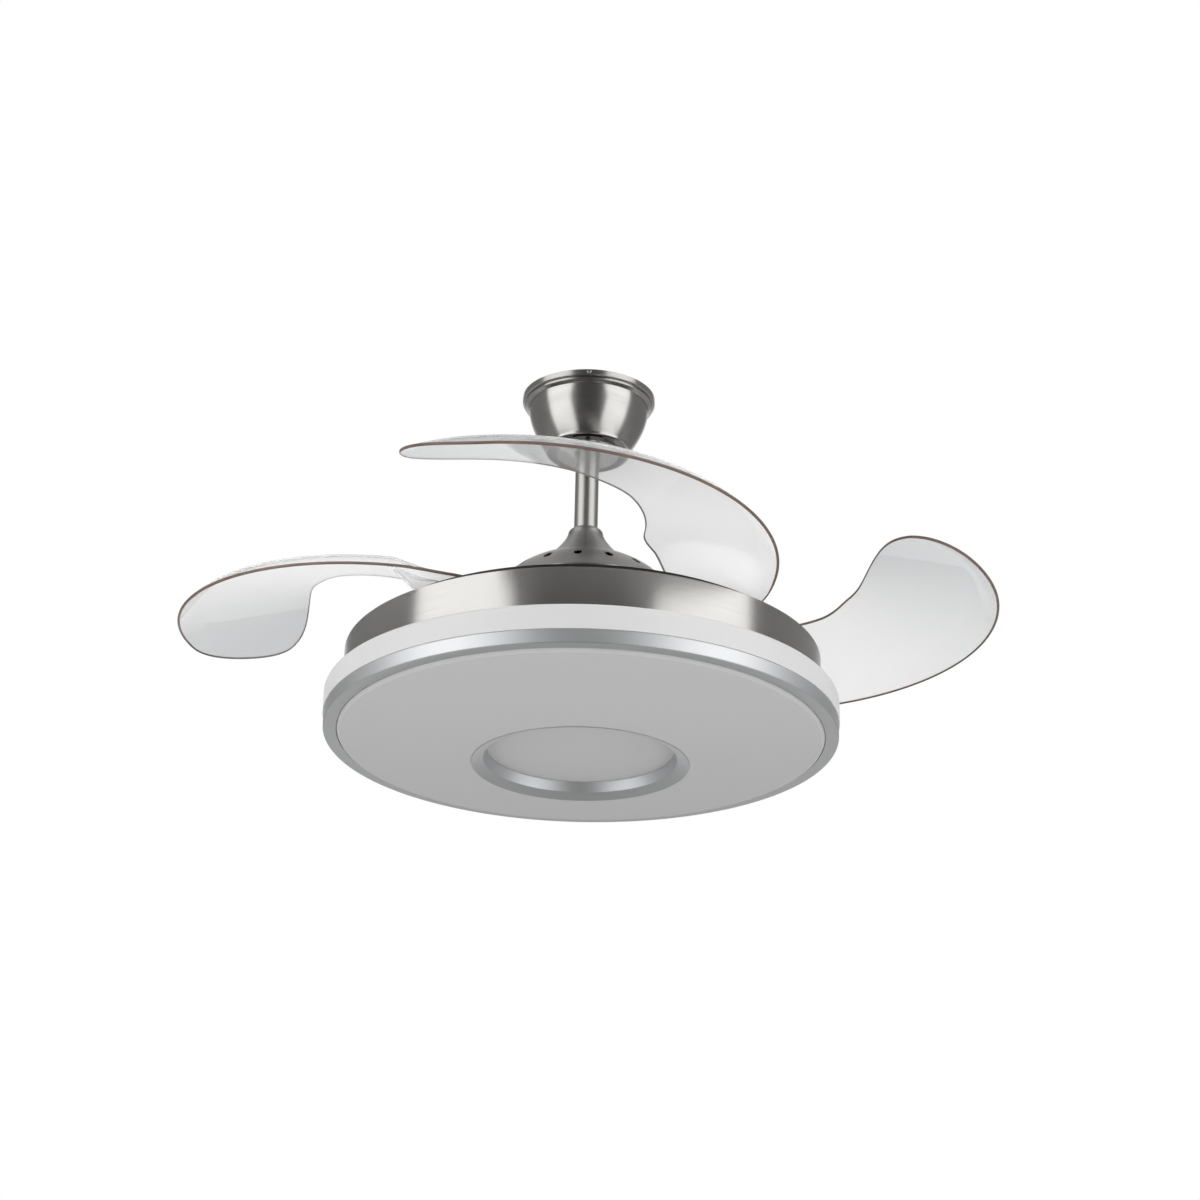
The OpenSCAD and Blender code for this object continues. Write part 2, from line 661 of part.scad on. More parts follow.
module pivot_pins() color("lightgray")
    for (n = [0 : QUARTERS - 1]) at_pivot(n) {
        bar(pivot_pin_r, tray_floor_z + SEAT / 2, carrier_z + carrier_t - pin_head_t - 0.6 + EPS);
        bar(pivot_pin_r - 0.5, tray_floor_z - tray_wall, gear_z);
        bar(pin_head_r, carrier_z + carrier_t - pin_head_t - 0.6, carrier_z + carrier_t - 0.6);
    }

module return_springs() color("gray")
    for (n = [0 : QUARTERS - 1]) at_pivot(n)
        tube(spring_in_r + spring_wire, spring_in_r, gear_top_z + RUN + 0.2, tray_roof_z);

module stop_bumpers() color([0.15, 0.15, 0.16])
    around(QUARTERS, lug_azimuth()) for (s = [0, 1]) {
        at = s == 0 ? -swing_angle * link_ratio - lug_half : fold_angle * link_ratio + lug_half;
        side = s == 0 ? -1 : 1;
        rotate([0, 0, at]) translate([lug_r - 1, side > 0 ? RUN : -RUN - 6, tray_floor_z])
            cube([6, 6, gear_top_z - tray_floor_z]);
    }

module linking_ring() color("ivory")
    translate([0, 0, gear_z]) linear_extrude(gear_t)
        rotate([0, 0, -pivot_azimuth - VIEW_TURN]) union() {
            difference() {
                union() {
                    circle(r = ring_pitch_r - 1.2 * gear_module);
                    around(QUARTERS) gear_sector();
                }
                circle(r = ring_in_r);
            }
            around(QUARTERS, 45) rotate([0, 0, -lug_half])
                polygon([[lug_r, 0], [ring_in_r + 1, 0],
                         [(ring_in_r + 1) * cos(2 * lug_half), (ring_in_r + 1) * sin(2 * lug_half)],
                         [lug_r * cos(2 * lug_half), lug_r * sin(2 * lug_half)]]);
        }

// The toothed part of the linking ring that one blade gear meets
module gear_sector()
    difference() {
        gear_outline(ring_teeth, -6, 5);
        circle(r = ring_in_r);
    }

module blade_gear() color("ivory")
    difference() {
        union() {
            translate([0, 0, gear_z]) linear_extrude(gear_t)
                rotate([0, 0, 180 + 180 / pinion_teeth]) gear_outline(pinion_teeth, 0, pinion_teeth - 1);
            bar(hub_r, gear_top_z - EPS, carrier_z - SEAT);
        }
        bar(pivot_pin_r + FIT, gear_z - 1, carrier_z + 1);
    }

module blade_carrier() color([0.10, 0.10, 0.11])
    difference() {
        bar(flange_r, carrier_z, carrier_z + carrier_t);
        bar(pivot_pin_r + FIT, carrier_z - 1, carrier_z + carrier_t + 1);
        bar(pin_head_r + 0.4, carrier_z + carrier_t - pin_head_t - 0.9, carrier_z + carrier_t + 1);
        screw_holes(carrier_z - 1, carrier_z + carrier_t + 1);
    }

// The three holes through blade, carrier and gear
module screw_holes(z_low, z_high)
    for (i = [0 : 2]) rotate([0, 0, i * 120 + 90])
        bar_at(blade_screw_x, blade_screw_r + FIT, z_low, z_high);

module blade_screws() color("lightgray")
    for (i = [0 : 2]) rotate([0, 0, i * 120 + 90])
        translate([blade_screw_x, 0, blade_root_z + blade_t / 2 + SEAT])
            screw(3, 1.8, blade_screw_r, blade_t + carrier_t + 8);

// ---------- blades ----------

BLADE_STEPS = 34;      // stations along a blade
BLADE_LANES = 8;       // lanes across a blade
ROOT_AZIMUTH = 33;     // where a folded blade starts
LIP_START = 0.62;      // where the lip starts, from -1 at the inner edge to 1 at the outer edge

function smooth(t) = let (c = min(1, max(0, t))) c * c * (3 - 2 * c);
function ease(t, power) = let (c = min(1, max(0, t))) 1 - sqrt(max(0, 1 - pow(c, power)));

// Inner and outer edges of a folded blade, as radii over the azimuth
function edge_in(a) =
    blade_in_r + (blade_tip_r - blade_in_r) * ease((a - 140) / (tip_azimuth - 140), 2.4)
               + (pivot_r - blade_in_r) * ease((62 - a) / (62 - ROOT_AZIMUTH), 2)
               + blade_hollow * smooth((a - 46) / 16) * smooth((125 - a) / 29);
function edge_out(a) =
    blade_out_r - (blade_out_r - blade_tip_r) * ease((a - 168) / (tip_azimuth - 168), 2.2)
                - (blade_out_r - pivot_r) * ease((46 - a) / (46 - ROOT_AZIMUTH), 2);

// Height of the blade's middle surface
function blade_height(a, r, v) =
    let (x = r * cos(a) - pivot_x, y = r * sin(a) - pivot_y,
         away = smooth((sqrt(x * x + y * y) - flange_r - 2) / 46),
         climb = -tray_top + blade_lift + blade_rise * (a - 50) / 90 - blade_slope * (r - blade_in_r),
         lip = blade_lip * smooth((tip_azimuth - a) / 32)
               * pow(max(0, (v - LIP_START) / (1 - LIP_START)), 2))
    blade_root_z * (1 - away) + (climb - lip) * away;

function blade_point(i, j, side) =
    let (u = 0.012 + 0.976 * i / BLADE_STEPS,
         a = ROOT_AZIMUTH + (tip_azimuth - ROOT_AZIMUTH) * (0.5 - 0.5 * cos(180 * u)),
         t = j / BLADE_LANES,
         r = edge_in(a) + (edge_out(a) - edge_in(a)) * t)
    [r * cos(a) - pivot_x, -(r * sin(a) - pivot_y), blade_height(a, r, 2 * t - 1) + side * blade_t / 2];

function quad(a, b, c, d) = [[a, b, c], [a, c, d]];

module blade() color([0.90, 0.92, 0.93, 0.35]) difference() {
    blade_sheet();
    screw_holes(blade_root_z - blade_t, blade_root_z + blade_t);
}

module blade_sheet() {
    n = BLADE_LANES + 1;
    half = (BLADE_STEPS + 1) * n;
    top = [for (i = [0 : BLADE_STEPS], j = [0 : BLADE_LANES]) blade_point(i, j, 1)];
    low = [for (i = [0 : BLADE_STEPS], j = [0 : BLADE_LANES]) blade_point(i, j, -1)];
    faces = concat(
        [for (i = [0 : BLADE_STEPS - 1], j = [0 : BLADE_LANES - 1])
            each quad(i * n + j, (i + 1) * n + j, (i + 1) * n + j + 1, i * n + j + 1)],
        [for (i = [0 : BLADE_STEPS - 1], j = [0 : BLADE_LANES - 1])
            each quad(half + i * n + j, half + i * n + j + 1,
                      half + (i + 1) * n + j + 1, half + (i + 1) * n + j)],
        [for (i = [0 : BLADE_STEPS - 1])
            each quad(i * n, half + i * n, half + (i + 1) * n, (i + 1) * n)],
        [for (i = [0 : BLADE_STEPS - 1])
            each quad(i * n + n - 1, (i + 1) * n + n - 1, half + (i + 1) * n + n - 1, half + i * n + n - 1)],
        [for (j = [0 : BLADE_LANES - 1]) each quad(j, j + 1, half + j + 1, half + j)],
        [for (j = [0 : BLADE_LANES - 1])
            let (e = BLADE_STEPS * n) each quad(e + j, half + e + j, half + e + j + 1, e + j + 1)]);
    polyhedron(points = concat(top, low), faces = faces);
}

module placed_blade(n) at_pivot(n - 1, SHAPE_TURN) blade();
module placed_gear(n) at_pivot(n - 1) difference() {
    rotate([0, 0, -pivot_azimuth]) blade_gear();
    rotate([0, 0, SHAPE_TURN]) screw_holes(carrier_z - 9, carrier_z + 1);
}
module placed_carrier(n) at_pivot(n - 1, SHAPE_TURN) blade_carrier();
module placed_screws(n) at_pivot(n - 1, SHAPE_TURN) blade_screws();

// ---------- light ----------

module shaft_nut() color("lightgray")
    difference() {
        translate([0, 0, chassis_z - chassis_t - 6]) cylinder(r = 16, h = 6 - SEAT, $fn = 6);
        bar(shaft_r + FIT, chassis_z - 20, chassis_z + 1);
    }

module lamp_chassis() color("white")
    difference() {
        union() {
            rotate_extrude()
                polygon([[0, chassis_z], [chassis_r, chassis_z], [chassis_r, flange_top_z],
                         [flange_out_r, flange_top_z], [flange_out_r, flange_top_z - chassis_t],
                         [chassis_r - chassis_t, flange_top_z - chassis_t],
                         [chassis_r - chassis_t, chassis_z - chassis_t], [0, chassis_z - chassis_t]]);
            bar(hub_boss_r, chassis_z - EPS, chassis_z + 2);
        }
        bar(shaft_r + FIT, chassis_z - 5, chassis_z + 5);
        around(12, 15) bar_at(90, 4, chassis_z - 5, chassis_z + 5);
    }

module top_band() color("silver")
    rotate_extrude()
        polygon([[band_r - band_wall, band_bottom_z + SEAT], [band_r, band_bottom_z + SEAT],
                 [band_r, -band_top - 0.8], [band_r - 0.8, -band_top], [band_r - 6, -band_top],
                 [band_r - 6, -band_top - 1.4], [band_r - band_wall, -band_top - 1.4]]);

module side_light_ring() color("whitesmoke")
    rotate_extrude()
        polygon([[chassis_r + SEAT, band_bottom_z], [side_r - 3, band_bottom_z],
                 [side_r - 0.9, band_bottom_z - 0.9], [side_r, band_bottom_z - 3],
                 [side_r, side_bottom_z + SEAT], [side_r - 12, side_bottom_z + SEAT],
                 [side_r - 12, side_bottom_z + side_wall], [side_r - side_wall, side_bottom_z + side_wall],
                 [side_r - side_wall, band_bottom_z - side_wall - 1],
                 [side_r - side_wall - 1.5, band_bottom_z - side_wall],
                 [chassis_r + SEAT, band_bottom_z - side_wall]]);

module rim_ring() color("silver")
    rotate_extrude()
        polygon([[rim_in_r, rim_bottom_z], [rim_r - 0.6, rim_bottom_z], [rim_r, rim_bottom_z + 0.6],
                 [rim_r, side_bottom_z], [rim_r - 10, side_bottom_z],
                 [rim_r - 10, side_bottom_z - rim_wall], [rim_r - rim_wall, side_bottom_z - rim_wall],
                 [rim_r - rim_wall, rim_bottom_z + rim_wall], [rim_in_r, rim_bottom_z + rim_wall]]);

module led_plate() color("white")
    difference() {
        bar(flange_out_r - 1, led_z - led_plate_t, led_z);
        bar(16, led_z - 5, led_z + 5);
    }

module led_board() color("honeydew") {
    tube(board_out_r, board_in_r, led_board_z - 1.6, led_board_z);
    around(led_count) translate([board_out_r - 14, -2.5, led_board_z - 2.6]) cube([5, 5, 1.1]);
    around(led_count / 2) translate([board_in_r + 35, -2.5, led_board_z - 2.6]) cube([5, 5, 1.1]);
}

module centre_led_board() color("honeydew") {
    tube(centre_board_r, 24, led_board_z - 1.6, led_board_z);
    around(led_count / 4) translate([centre_board_r - 25, -2.5, led_board_z - 2.6]) cube([5, 5, 1.1]);
}

module led_driver() color("gainsboro")
    for (s = [-1, 1]) translate([s * driver_x - 45, -22, led_z + SEAT]) {
        cube([90, 44, 26]);
        translate([-4, 12, 0]) cube([98, 20, 2]);
    }

// Lower surface of the main diffuser at radius r
function diffuser_z(r) =
    let (t = (diffuser_edge_r - r) / (diffuser_edge_r - diffuser_in_r))
    rim_bottom_z - 2.5 - (diffuser_sag - 2.5) * (1 - pow(1 - t, 1.25));

module main_diffuser() color("lightgray")
    rotate_extrude() {
        steps = 14;
        wide = diffuser_edge_r - 3 - diffuser_in_r;
        polygon(concat(
            [[diffuser_edge_r, rim_bottom_z + rim_wall + SEAT], [diffuser_edge_r, rim_bottom_z + 0.4],
             [diffuser_edge_r - 0.8, rim_bottom_z - 1.4], [diffuser_edge_r - 2.4, rim_bottom_z - 2.6]],
            [for (i = [0 : steps])
                let (r = diffuser_edge_r - 3 - wide * i / steps) [r, diffuser_z(r)]],
            [for (i = [steps : -1 : 0])
                let (r = diffuser_edge_r - 3 - wide * i / steps) [r, diffuser_z(r) + diffuser_t]],
            [[diffuser_edge_r - diffuser_t, rim_bottom_z + 1], [diffuser_edge_r - diffuser_t, rim_bottom_z + 4],
             [diffuser_edge_r + 9, rim_bottom_z + 4], [diffuser_edge_r + 9, rim_bottom_z + rim_wall + SEAT]]));
    }

module trim_ring() color("silver")
    rotate_extrude() {
        flange_z = diffuser_z(trim_flange_r) + diffuser_t + SEAT;
        polygon([[trim_r, flange_z], [trim_r, diffuser_low_z - 0.2],
                 [trim_r - 0.8, diffuser_low_z - 0.6], [trim_in_r, diffuser_low_z + trim_rise],
                 [trim_in_r - 3.2, centre_z], [trim_in_r - 3.2, centre_z + 6], [trim_in_r + 2, centre_z + 6],
                 [trim_in_r + 2, diffuser_low_z + trim_rise + 1.6], [trim_r - 1.5, diffuser_low_z + 1.5],
                 [trim_r - 1.5, flange_z + 1.4], [trim_flange_r, flange_z + 1.4], [trim_flange_r, flange_z]]);
    }

module centre_diffuser() color("lightgray")
    rotate_extrude() {
        steps = 8;
        r_out = trim_in_r - 3.2 - SEAT;
        polygon(concat(
            [for (i = [0 : steps]) let (r = r_out * i / steps) [r, centre_z + 1 - 2 * (1 - pow(i / steps, 2))]],
            [[r_out, centre_z + 6 + SEAT], [trim_in_r + 2, centre_z + 6 + SEAT],
             [trim_in_r + 2, centre_z + 8], [r_out - 2, centre_z + 8], [r_out - 2, centre_z + 3.5]],
            [for (i = [steps - 1 : -1 : 0])
                let (r = (r_out - 2) * i / steps) [r, centre_z + 3 - 2 * (1 - pow(i / steps, 2))]]));
    }

// Cup that carries the centre light and the trim ring under the plate
module centre_cup() color("white")
    rotate_extrude()
        polygon([[trim_in_r - 2, centre_z + 8 + SEAT], [trim_in_r + 6, centre_z + 8 + SEAT],
                 [trim_in_r + 6, led_board_z - 2], [trim_in_r + 14, led_board_z - 2],
                 [trim_in_r + 14, led_board_z], [trim_in_r + 4.5, led_board_z],
                 [trim_in_r + 4.5, centre_z + 9.6], [trim_in_r - 2, centre_z + 9.6]]);

ceiling_bracket();
canopy();
canopy_screws();
rod_cover_disc();
terminal_block();
hanger_ball();
ball_pin();
downrod();
rod_cross_pin();
cross_pin_clip();
motor_yoke();
yoke_set_screw();
coupling_cover();
motor_top_cover();
cover_screws();
motor_shaft();
stator_core();
stator_windings();
upper_bearing();
lower_bearing();
motor_shell_upper();
motor_shell_lower();
rotor_magnets();
shell_screws();
blade_tray();
tray_cover();
tray_screws();
pivot_pins();
return_springs();
stop_bumpers();
linking_ring();
placed_gear(1);  // blade_gear_1
placed_gear(2);  // blade_gear_2
placed_gear(3);  // blade_gear_3
placed_gear(4);  // blade_gear_4
placed_carrier(1);  // blade_carrier_1
placed_carrier(2);  // blade_carrier_2
placed_carrier(3);  // blade_carrier_3
placed_carrier(4);  // blade_carrier_4
placed_blade(1);  // blade_1
placed_blade(2);  // blade_2
placed_blade(3);  // blade_3
placed_blade(4);  // blade_4
placed_screws(1);  // blade_screws_1
placed_screws(2);  // blade_screws_2
placed_screws(3);  // blade_screws_3
placed_screws(4);  // blade_screws_4
shaft_nut();
lamp_chassis();
top_band();
side_light_ring();
rim_ring();
led_plate();
led_board();
centre_led_board();
led_driver();
main_diffuser();
centre_cup();
centre_diffuser();
trim_ring();
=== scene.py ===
"""Finishes, clear blades, screws, springs and studio for the retractable blade ceiling fan."""
import math

import bmesh
import bpy
from mathutils import Matrix, Vector


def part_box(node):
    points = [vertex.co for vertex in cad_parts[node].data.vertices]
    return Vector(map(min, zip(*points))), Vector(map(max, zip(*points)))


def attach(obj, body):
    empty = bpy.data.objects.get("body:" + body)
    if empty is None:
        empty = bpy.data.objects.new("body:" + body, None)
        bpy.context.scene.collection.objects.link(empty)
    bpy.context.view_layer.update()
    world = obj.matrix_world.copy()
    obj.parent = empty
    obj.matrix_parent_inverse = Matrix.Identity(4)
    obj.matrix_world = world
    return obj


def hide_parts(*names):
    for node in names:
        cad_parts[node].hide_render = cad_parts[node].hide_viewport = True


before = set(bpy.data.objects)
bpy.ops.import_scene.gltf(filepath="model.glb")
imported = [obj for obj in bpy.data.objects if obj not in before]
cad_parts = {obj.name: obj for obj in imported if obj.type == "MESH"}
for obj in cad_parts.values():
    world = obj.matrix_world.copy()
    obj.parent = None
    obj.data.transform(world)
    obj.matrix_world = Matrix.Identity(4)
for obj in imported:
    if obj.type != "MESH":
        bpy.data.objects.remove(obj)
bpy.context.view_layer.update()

bl_info = {
    "name": "Retractable Blade Ceiling Fan",
    "version": (1, 0, 0),
    "blender": (4, 5, 0),
    "location": "View3D > Sidebar > Ceiling Fan",
    "description": "Dresses a packed ceiling fan with its metals, clear blades, screws and studio",
    "category": "Object",
}

MM = 0.001

# Where the blades sit, as in the CAD. Lengths in millimetres.
PIVOT_RADIUS = 190.0                         # from the fan's axis to a blade's pivot
PIVOT_AZIMUTH = math.radians(42.7)           # of the pivot, in a folded blade's outline
PIVOT_X = PIVOT_RADIUS * math.cos(PIVOT_AZIMUTH)
PIVOT_Y = PIVOT_RADIUS * math.sin(PIVOT_AZIMUTH)
VIEW_TURN = math.radians(0.8)                # turns the set of four to the photograph's
SHAPE_TURN = math.radians(65)                # opens a blade from the outline it is drawn in to rest
TRAY_TOP = -297.7                            # upper face of the tray's cover
ROOT_HEIGHT = -290.85                        # middle of a blade where it is screwed down

# Outline of a folded blade. Azimuths in degrees round the fan's axis, lengths in millimetres.
ROOT_AZIMUTH = 33.0                          # where the outline starts
INNER_ROOT_END, OUTER_ROOT_END = 62, 46      # where each edge has left the rounded root
INNER_TIP_START, OUTER_TIP_START = 140, 168  # where each edge begins to turn in to the tip
ROOT_POWER, INNER_TIP_POWER, OUTER_TIP_POWER = 2, 2.4, 2.2  # the higher, the squarer an end
HOLLOW_START, HOLLOW_RISE = 46, 16           # the inner edge's hollow sets in, and over how much
HOLLOW_END, HOLLOW_FALL = 125, 29            # it has died out, and over how much
FLAT_ROOT, ROOT_BLEND = 28, 46               # flat radius round the pivot, and the blend after it
CLIMB_START = 50                             # azimuth at which the blade has its stated lift
LIP_START, LIP_WIDTH = 0.62, 0.38            # from middle (0) to edge (1): where it turns down
LIP_FADE = 32                                # the lip dies out over this much before the tip
ROUNDING = 1.2                               # width of the rounded edge
RIM_STEPS = (0.0, 0.12, 0.35, 0.7, 1.2, 1.7)  # rows of the grid near an edge, measured in from it
RIM_SHARE = 0.66                             # most of a blade's width that both rims may take

# Screws and springs. Lengths in millimetres, turns in degrees.
BLADE_SCREW_CIRCLE, BLADE_SCREW_TURNS = 12.2, (90, 210, 330)
BLADE_SCREW_SEAT = 1.65                      # heads above the middle of a blade's root
BLADE_HOLE_RADIUS = 1.55
TRAY_SCREW_SEAT = 0.15                       # heads above the tray's cover
TRAY_SCREWS = ((8, 222, 22.5), (4, 128, 60))  # how many, radius of their circle, first turn
CANOPY_SCREW_REACH, CANOPY_SCREW_HEIGHT = 72.15, -2.7
SPRING_RADIUS, SPRING_WIRE, SPRING_TURNS = 18.4, 1.1, 3

# The photograph's camera, in metres and degrees, fitted to the ellipses of band, rim and canopy
CAMERA_PLACE = (0.0129, -2.7719, -1.4191)
CAMERA_YAW, CAMERA_PITCH, CAMERA_ROLL = 0.082, 23.086, 1.2363
CAMERA_LENS, CAMERA_SENSOR = 85.2, 36

# Brightness of what the gloss sees, where 1 is white
FRONT_CARD = 0.09
SIDE_CARD = 0.25
GREY_CEILING = 0.4
PLAIN_LEVEL = 0.44                           # light from all round on what isn't glossy
FLOOR_GLOW = 0.48                            # lifts the floor to a pale tone where it is looked at
FLOOR_SIZE = 13
LAMP_AIM = (0, 0, -0.25)                     # what the soft boxes point at
WHITE = (1, 1, 1, 1)


# ---------- colours and shader nodes ----------

def linear(hex_colour):
    """Turns a written sRGB colour such as #C0C0C0 into the linear RGBA that shaders use."""
    parts = [int(hex_colour[i:i + 2], 16) / 255 for i in (1, 3, 5)]
    return (*(p / 12.92 if p <= 0.04045 else ((p + 0.055) / 1.055) ** 2.4 for p in parts), 1.0)


def toned(colour, factor, added=0.0):
    """A colour made darker or paler, at most white."""
    return (*(min(1.0, part * factor + added) for part in colour[:3]), 1.0)


def add(tree, kind, inputs=None, **settings):
    """Adds one shader node, with its settings, and sets or links its inputs."""
    made = tree.nodes.new(kind)
    for name, value in settings.items():
        setattr(made, name, value)
    for socket, value in (inputs or {}).items():
        if isinstance(value, bpy.types.NodeSocket):
            tree.links.new(value, made.inputs[socket])
        else:
            made.inputs[socket].default_value = value
    return made


def maths(tree, operation, *values):
    """Result of a sum on numbers or sockets."""
    return add(tree, "ShaderNodeMath", dict(enumerate(values)), operation=operation).outputs[0]


def between(tree, factor, first, second):
    """A number from the first to the second, by a factor from 0 to 1."""
    return add(tree, "ShaderNodeMix", {0: factor, 2: first, 3: second}).outputs[0]


def blend(tree, factor, first, second):
    """A colour from the first to the second, by a factor from 0 to 1."""
    return add(tree, "ShaderNodeMix", {0: factor, 6: first, 7: second}, data_type="RGBA").outputs[2]


def ramp(tree, value, start, end, first, last):
    """A soft change from the first level to the last, as the value passes from start to end."""
    return add(tree, "ShaderNodeMapRange", {"Value": value, "From Min": start, "From Max": end,
                                            "To Min": first, "To Max": last},
               interpolation_type="SMOOTHSTEP").outputs["Result"]


def start_material(name, colour, roughness, metallic=0.0):
    """A new material with its main shader; returns the material, its tree and the shader."""
    material = bpy.data.materials.new(name)
    material.use_nodes = True
    tree = material.node_tree
    shader = tree.nodes["Principled BSDF"]
    tune(shader, {"Base Color": colour, "Roughness": roughness, "Metallic": metallic})
    return material, tree, shader


def tune(shader, values):
    """Sets inputs of a shader by their names."""
    for name, value in values.items():
        shader.inputs[name].default_value = value


def vary(tree, shader, factor, colours=None, roughness=None, bump=None):
    """Lets a pattern shift the shader's colour, roughness and surface height."""
    if colours:
        tree.links.new(blend(tree, factor, *colours), shader.inputs["Base Color"])
    if roughness:
        spread = add(tree, "ShaderNodeMapRange", {"Value": factor, "To Min": roughness[0],
                                                  "To Max": roughness[1]})
        tree.links.new(spread.outputs["Result"], shader.inputs["Roughness"])
    if bump:
        raised = add(tree, "ShaderNodeBump", {"Height": factor, "Strength": bump[0],
                                              "Distance": bump[1]})
        tree.links.new(raised.outputs["Normal"], shader.inputs["Normal"])


def own_place(tree):
    """Place on the piece in metres, fixed to it."""
    return add(tree, "ShaderNodeTexCoord").outputs["Object"]


def level_parts(tree, place):
    """Height of a place or direction, its level part, and that part's heading at length 1."""
    parts = add(tree, "ShaderNodeSeparateXYZ", {0: place}).outputs
    flat = add(tree, "ShaderNodeCombineXYZ", {0: parts[0], 1: parts[1]}).outputs[0]
    heading = add(tree, "ShaderNodeVectorMath", {0: flat}, operation="NORMALIZE").outputs[0]
    return parts[2], flat, heading


def noise(tree, place, scale, detail, roughness):
    """Fractal noise at a place."""
    return add(tree, "ShaderNodeTexNoise", {"Vector": place, "Scale": scale, "Detail": detail,
                                            "Roughness": roughness}).outputs["Fac"]


def grain(tree, size_mm, detail=3.0):
    """Even grain of a size in millimetres, fixed to the piece."""
    return noise(tree, own_place(tree), 1000 / size_mm, detail, 0.55)


def turned_lines(tree, spacing_mm, sweep=3.0, detail=4.0):
    """Brush lines that run round the fan's axis: fine across, long along the turn, with no seam.
    Height plus 0.8 of the radius numbers the lines, so walls and level faces both get them."""
    height, flat, heading = level_parts(tree, own_place(tree))
    radius = add(tree, "ShaderNodeVectorMath", {0: flat}, operation="LENGTH").outputs["Value"]
    long_way = add(tree, "ShaderNodeVectorMath", {0: heading, "Scale": sweep}, operation="SCALE")
    across = maths(tree, "MULTIPLY_ADD", radius, 0.8, height)
    stretched = maths(tree, "MULTIPLY", across, 1000 / spacing_mm)
    upward = add(tree, "ShaderNodeCombineXYZ", {2: stretched})
    total = add(tree, "ShaderNodeVectorMath", {0: long_way.outputs[0], 1: upward.outputs[0]},
                operation="ADD")
    return noise(tree, total.outputs[0], 1.0, detail, 0.6)


def spun_tangent(tree, shader, amount):
    """Stretches the gloss across the lathe's brush lines, a quarter turn from the tangent."""
    tune(shader, {"Anisotropic": amount, "Anisotropic Rotation": 0.25})
    turn = add(tree, "ShaderNodeTangent", direction_type="RADIAL", axis="Z")
    tree.links.new(turn.outputs["Tangent"], shader.inputs["Tangent"])


def milky(shader, weight, depth, index):
    """Lets light travel inside a milky plastic, evenly in all colours, to a depth in metres."""
    tune(shader, {"Subsurface Weight": weight, "Subsurface Radius": (1.0, 1.0, 1.0),
                  "Subsurface Scale": depth, "IOR": index})


# ---------- materials ----------

def brushed_nickel(name, colour, roughness=(0.24, 0.36), spacing=0.9, depth=0.25, stretch=0.75):
    """Nickel plate on spun steel, brushed on the lathe: soft streaked gloss across round lines.
    The real lines are about 0.1 mm apart, drawn coarser so that they show."""
    material, tree, shader = start_material(name, colour, 0.3, 1.0)
    vary(tree, shader, turned_lines(tree, spacing), (toned(colour, 0.8), colour), roughness,
         (depth, 0.00004))
    spun_tangent(tree, shader, stretch)
    return material


def polished_spun_nickel(colour):
    """The cover disc: nickel left almost mirror bright, with the lathe's fine grooves in it."""
    material, tree, shader = start_material("spun_mirror_nickel", colour, 0.12, 1.0)
    vary(tree, shader, turned_lines(tree, 1.6, 0.4, 2.0), None, (0.06, 0.2), (0.35, 0.00006))
    spun_tangent(tree, shader, 0.5)
    return material


def satin_aluminium(colour):
    """Anodised aluminium ring, turned and satin: an even pale silver with a faint line."""
    material, tree, shader = start_material("satin_anodised_aluminium", colour, 0.5, 1.0)
    vary(tree, shader, turned_lines(tree, 1.2, 2.0, 3.0), (colour, toned(colour, 1.06)),
         (0.46, 0.56), (0.12, 0.00003))
    spun_tangent(tree, shader, 0.2)
    return material


def zinc_plated_steel():
    """Zinc plated, passivated steel of brackets, pins and screws: bluish grey, cloudy spangle."""
    material, tree, shader = start_material("zinc_plated_steel", linear("#B4B9BE"), 0.38, 1.0)
    vary(tree, shader, grain(tree, 9.0, 4.0), (linear("#A2A8AF"), linear("#C3C6C8")),
         (0.3, 0.5), (0.1, 0.00005))
    return material


def spring_steel():
    """Drawn spring wire: darker grey steel with a faint cloudy oil film."""
    material, tree, shader = start_material("spring_steel", linear("#8E9094"), 0.32, 1.0)
    vary(tree, shader, grain(tree, 3.0), (linear("#7B7D82"), linear("#9EA0A3")),
         (0.26, 0.4), (0.15, 0.00003))
    return material


def cast_zinc():
    """Die cast yoke, tumbled and lacquered grey: a faint orange peel skin."""
    material, tree, shader = start_material("cast_zinc_yoke", linear("#7E8082"), 0.5, 0.9)
    vary(tree, shader, grain(tree, 2.2), (linear("#6F7173"), linear("#8C8E90")),
         (0.42, 0.6), (0.35, 0.00015))
    return material


def ground_steel():
    """Ground and hardened steel of shaft and bearings: bright, with round grinding lines."""
    material, tree, shader = start_material("ground_bearing_steel", linear("#C6C8CA"), 0.2, 1.0)
    vary(tree, shader, turned_lines(tree, 0.6, 6.0), (linear("#B3B5B8"), linear("#D2D3D4")),
         (0.14, 0.28), (0.1, 0.00002))
    return material


def moulded_nylon(name, dark, light, roughness=(0.42, 0.58), size=1.1):
    """Moulded engineering plastic: even colour, fine spark eroded texture from the mould."""
    material, tree, shader = start_material(name, linear(light), 0.5)
    vary(tree, shader, grain(tree, size), (linear(dark), linear(light)), roughness,
         (0.25, 0.00008))
    return material


def electrical_steel():
    """Stack of varnished electrical steel sheets 0.5 mm thick: level bands, drawn at 1 mm."""
    material, tree, shader = start_material("laminated_electrical_steel", linear("#6C6A68"),
                                            0.45, 0.8)
    sheets = add(tree, "ShaderNodeTexWave", {"Vector": own_place(tree), "Scale": 1000 / 3.14,
                                             "Distortion": 0.2}, bands_direction="Z")
    vary(tree, shader, sheets.outputs["Fac"], (linear("#4C4A48"), linear("#7A7876")),
         (0.38, 0.55), (0.5, 0.0001))
    return material


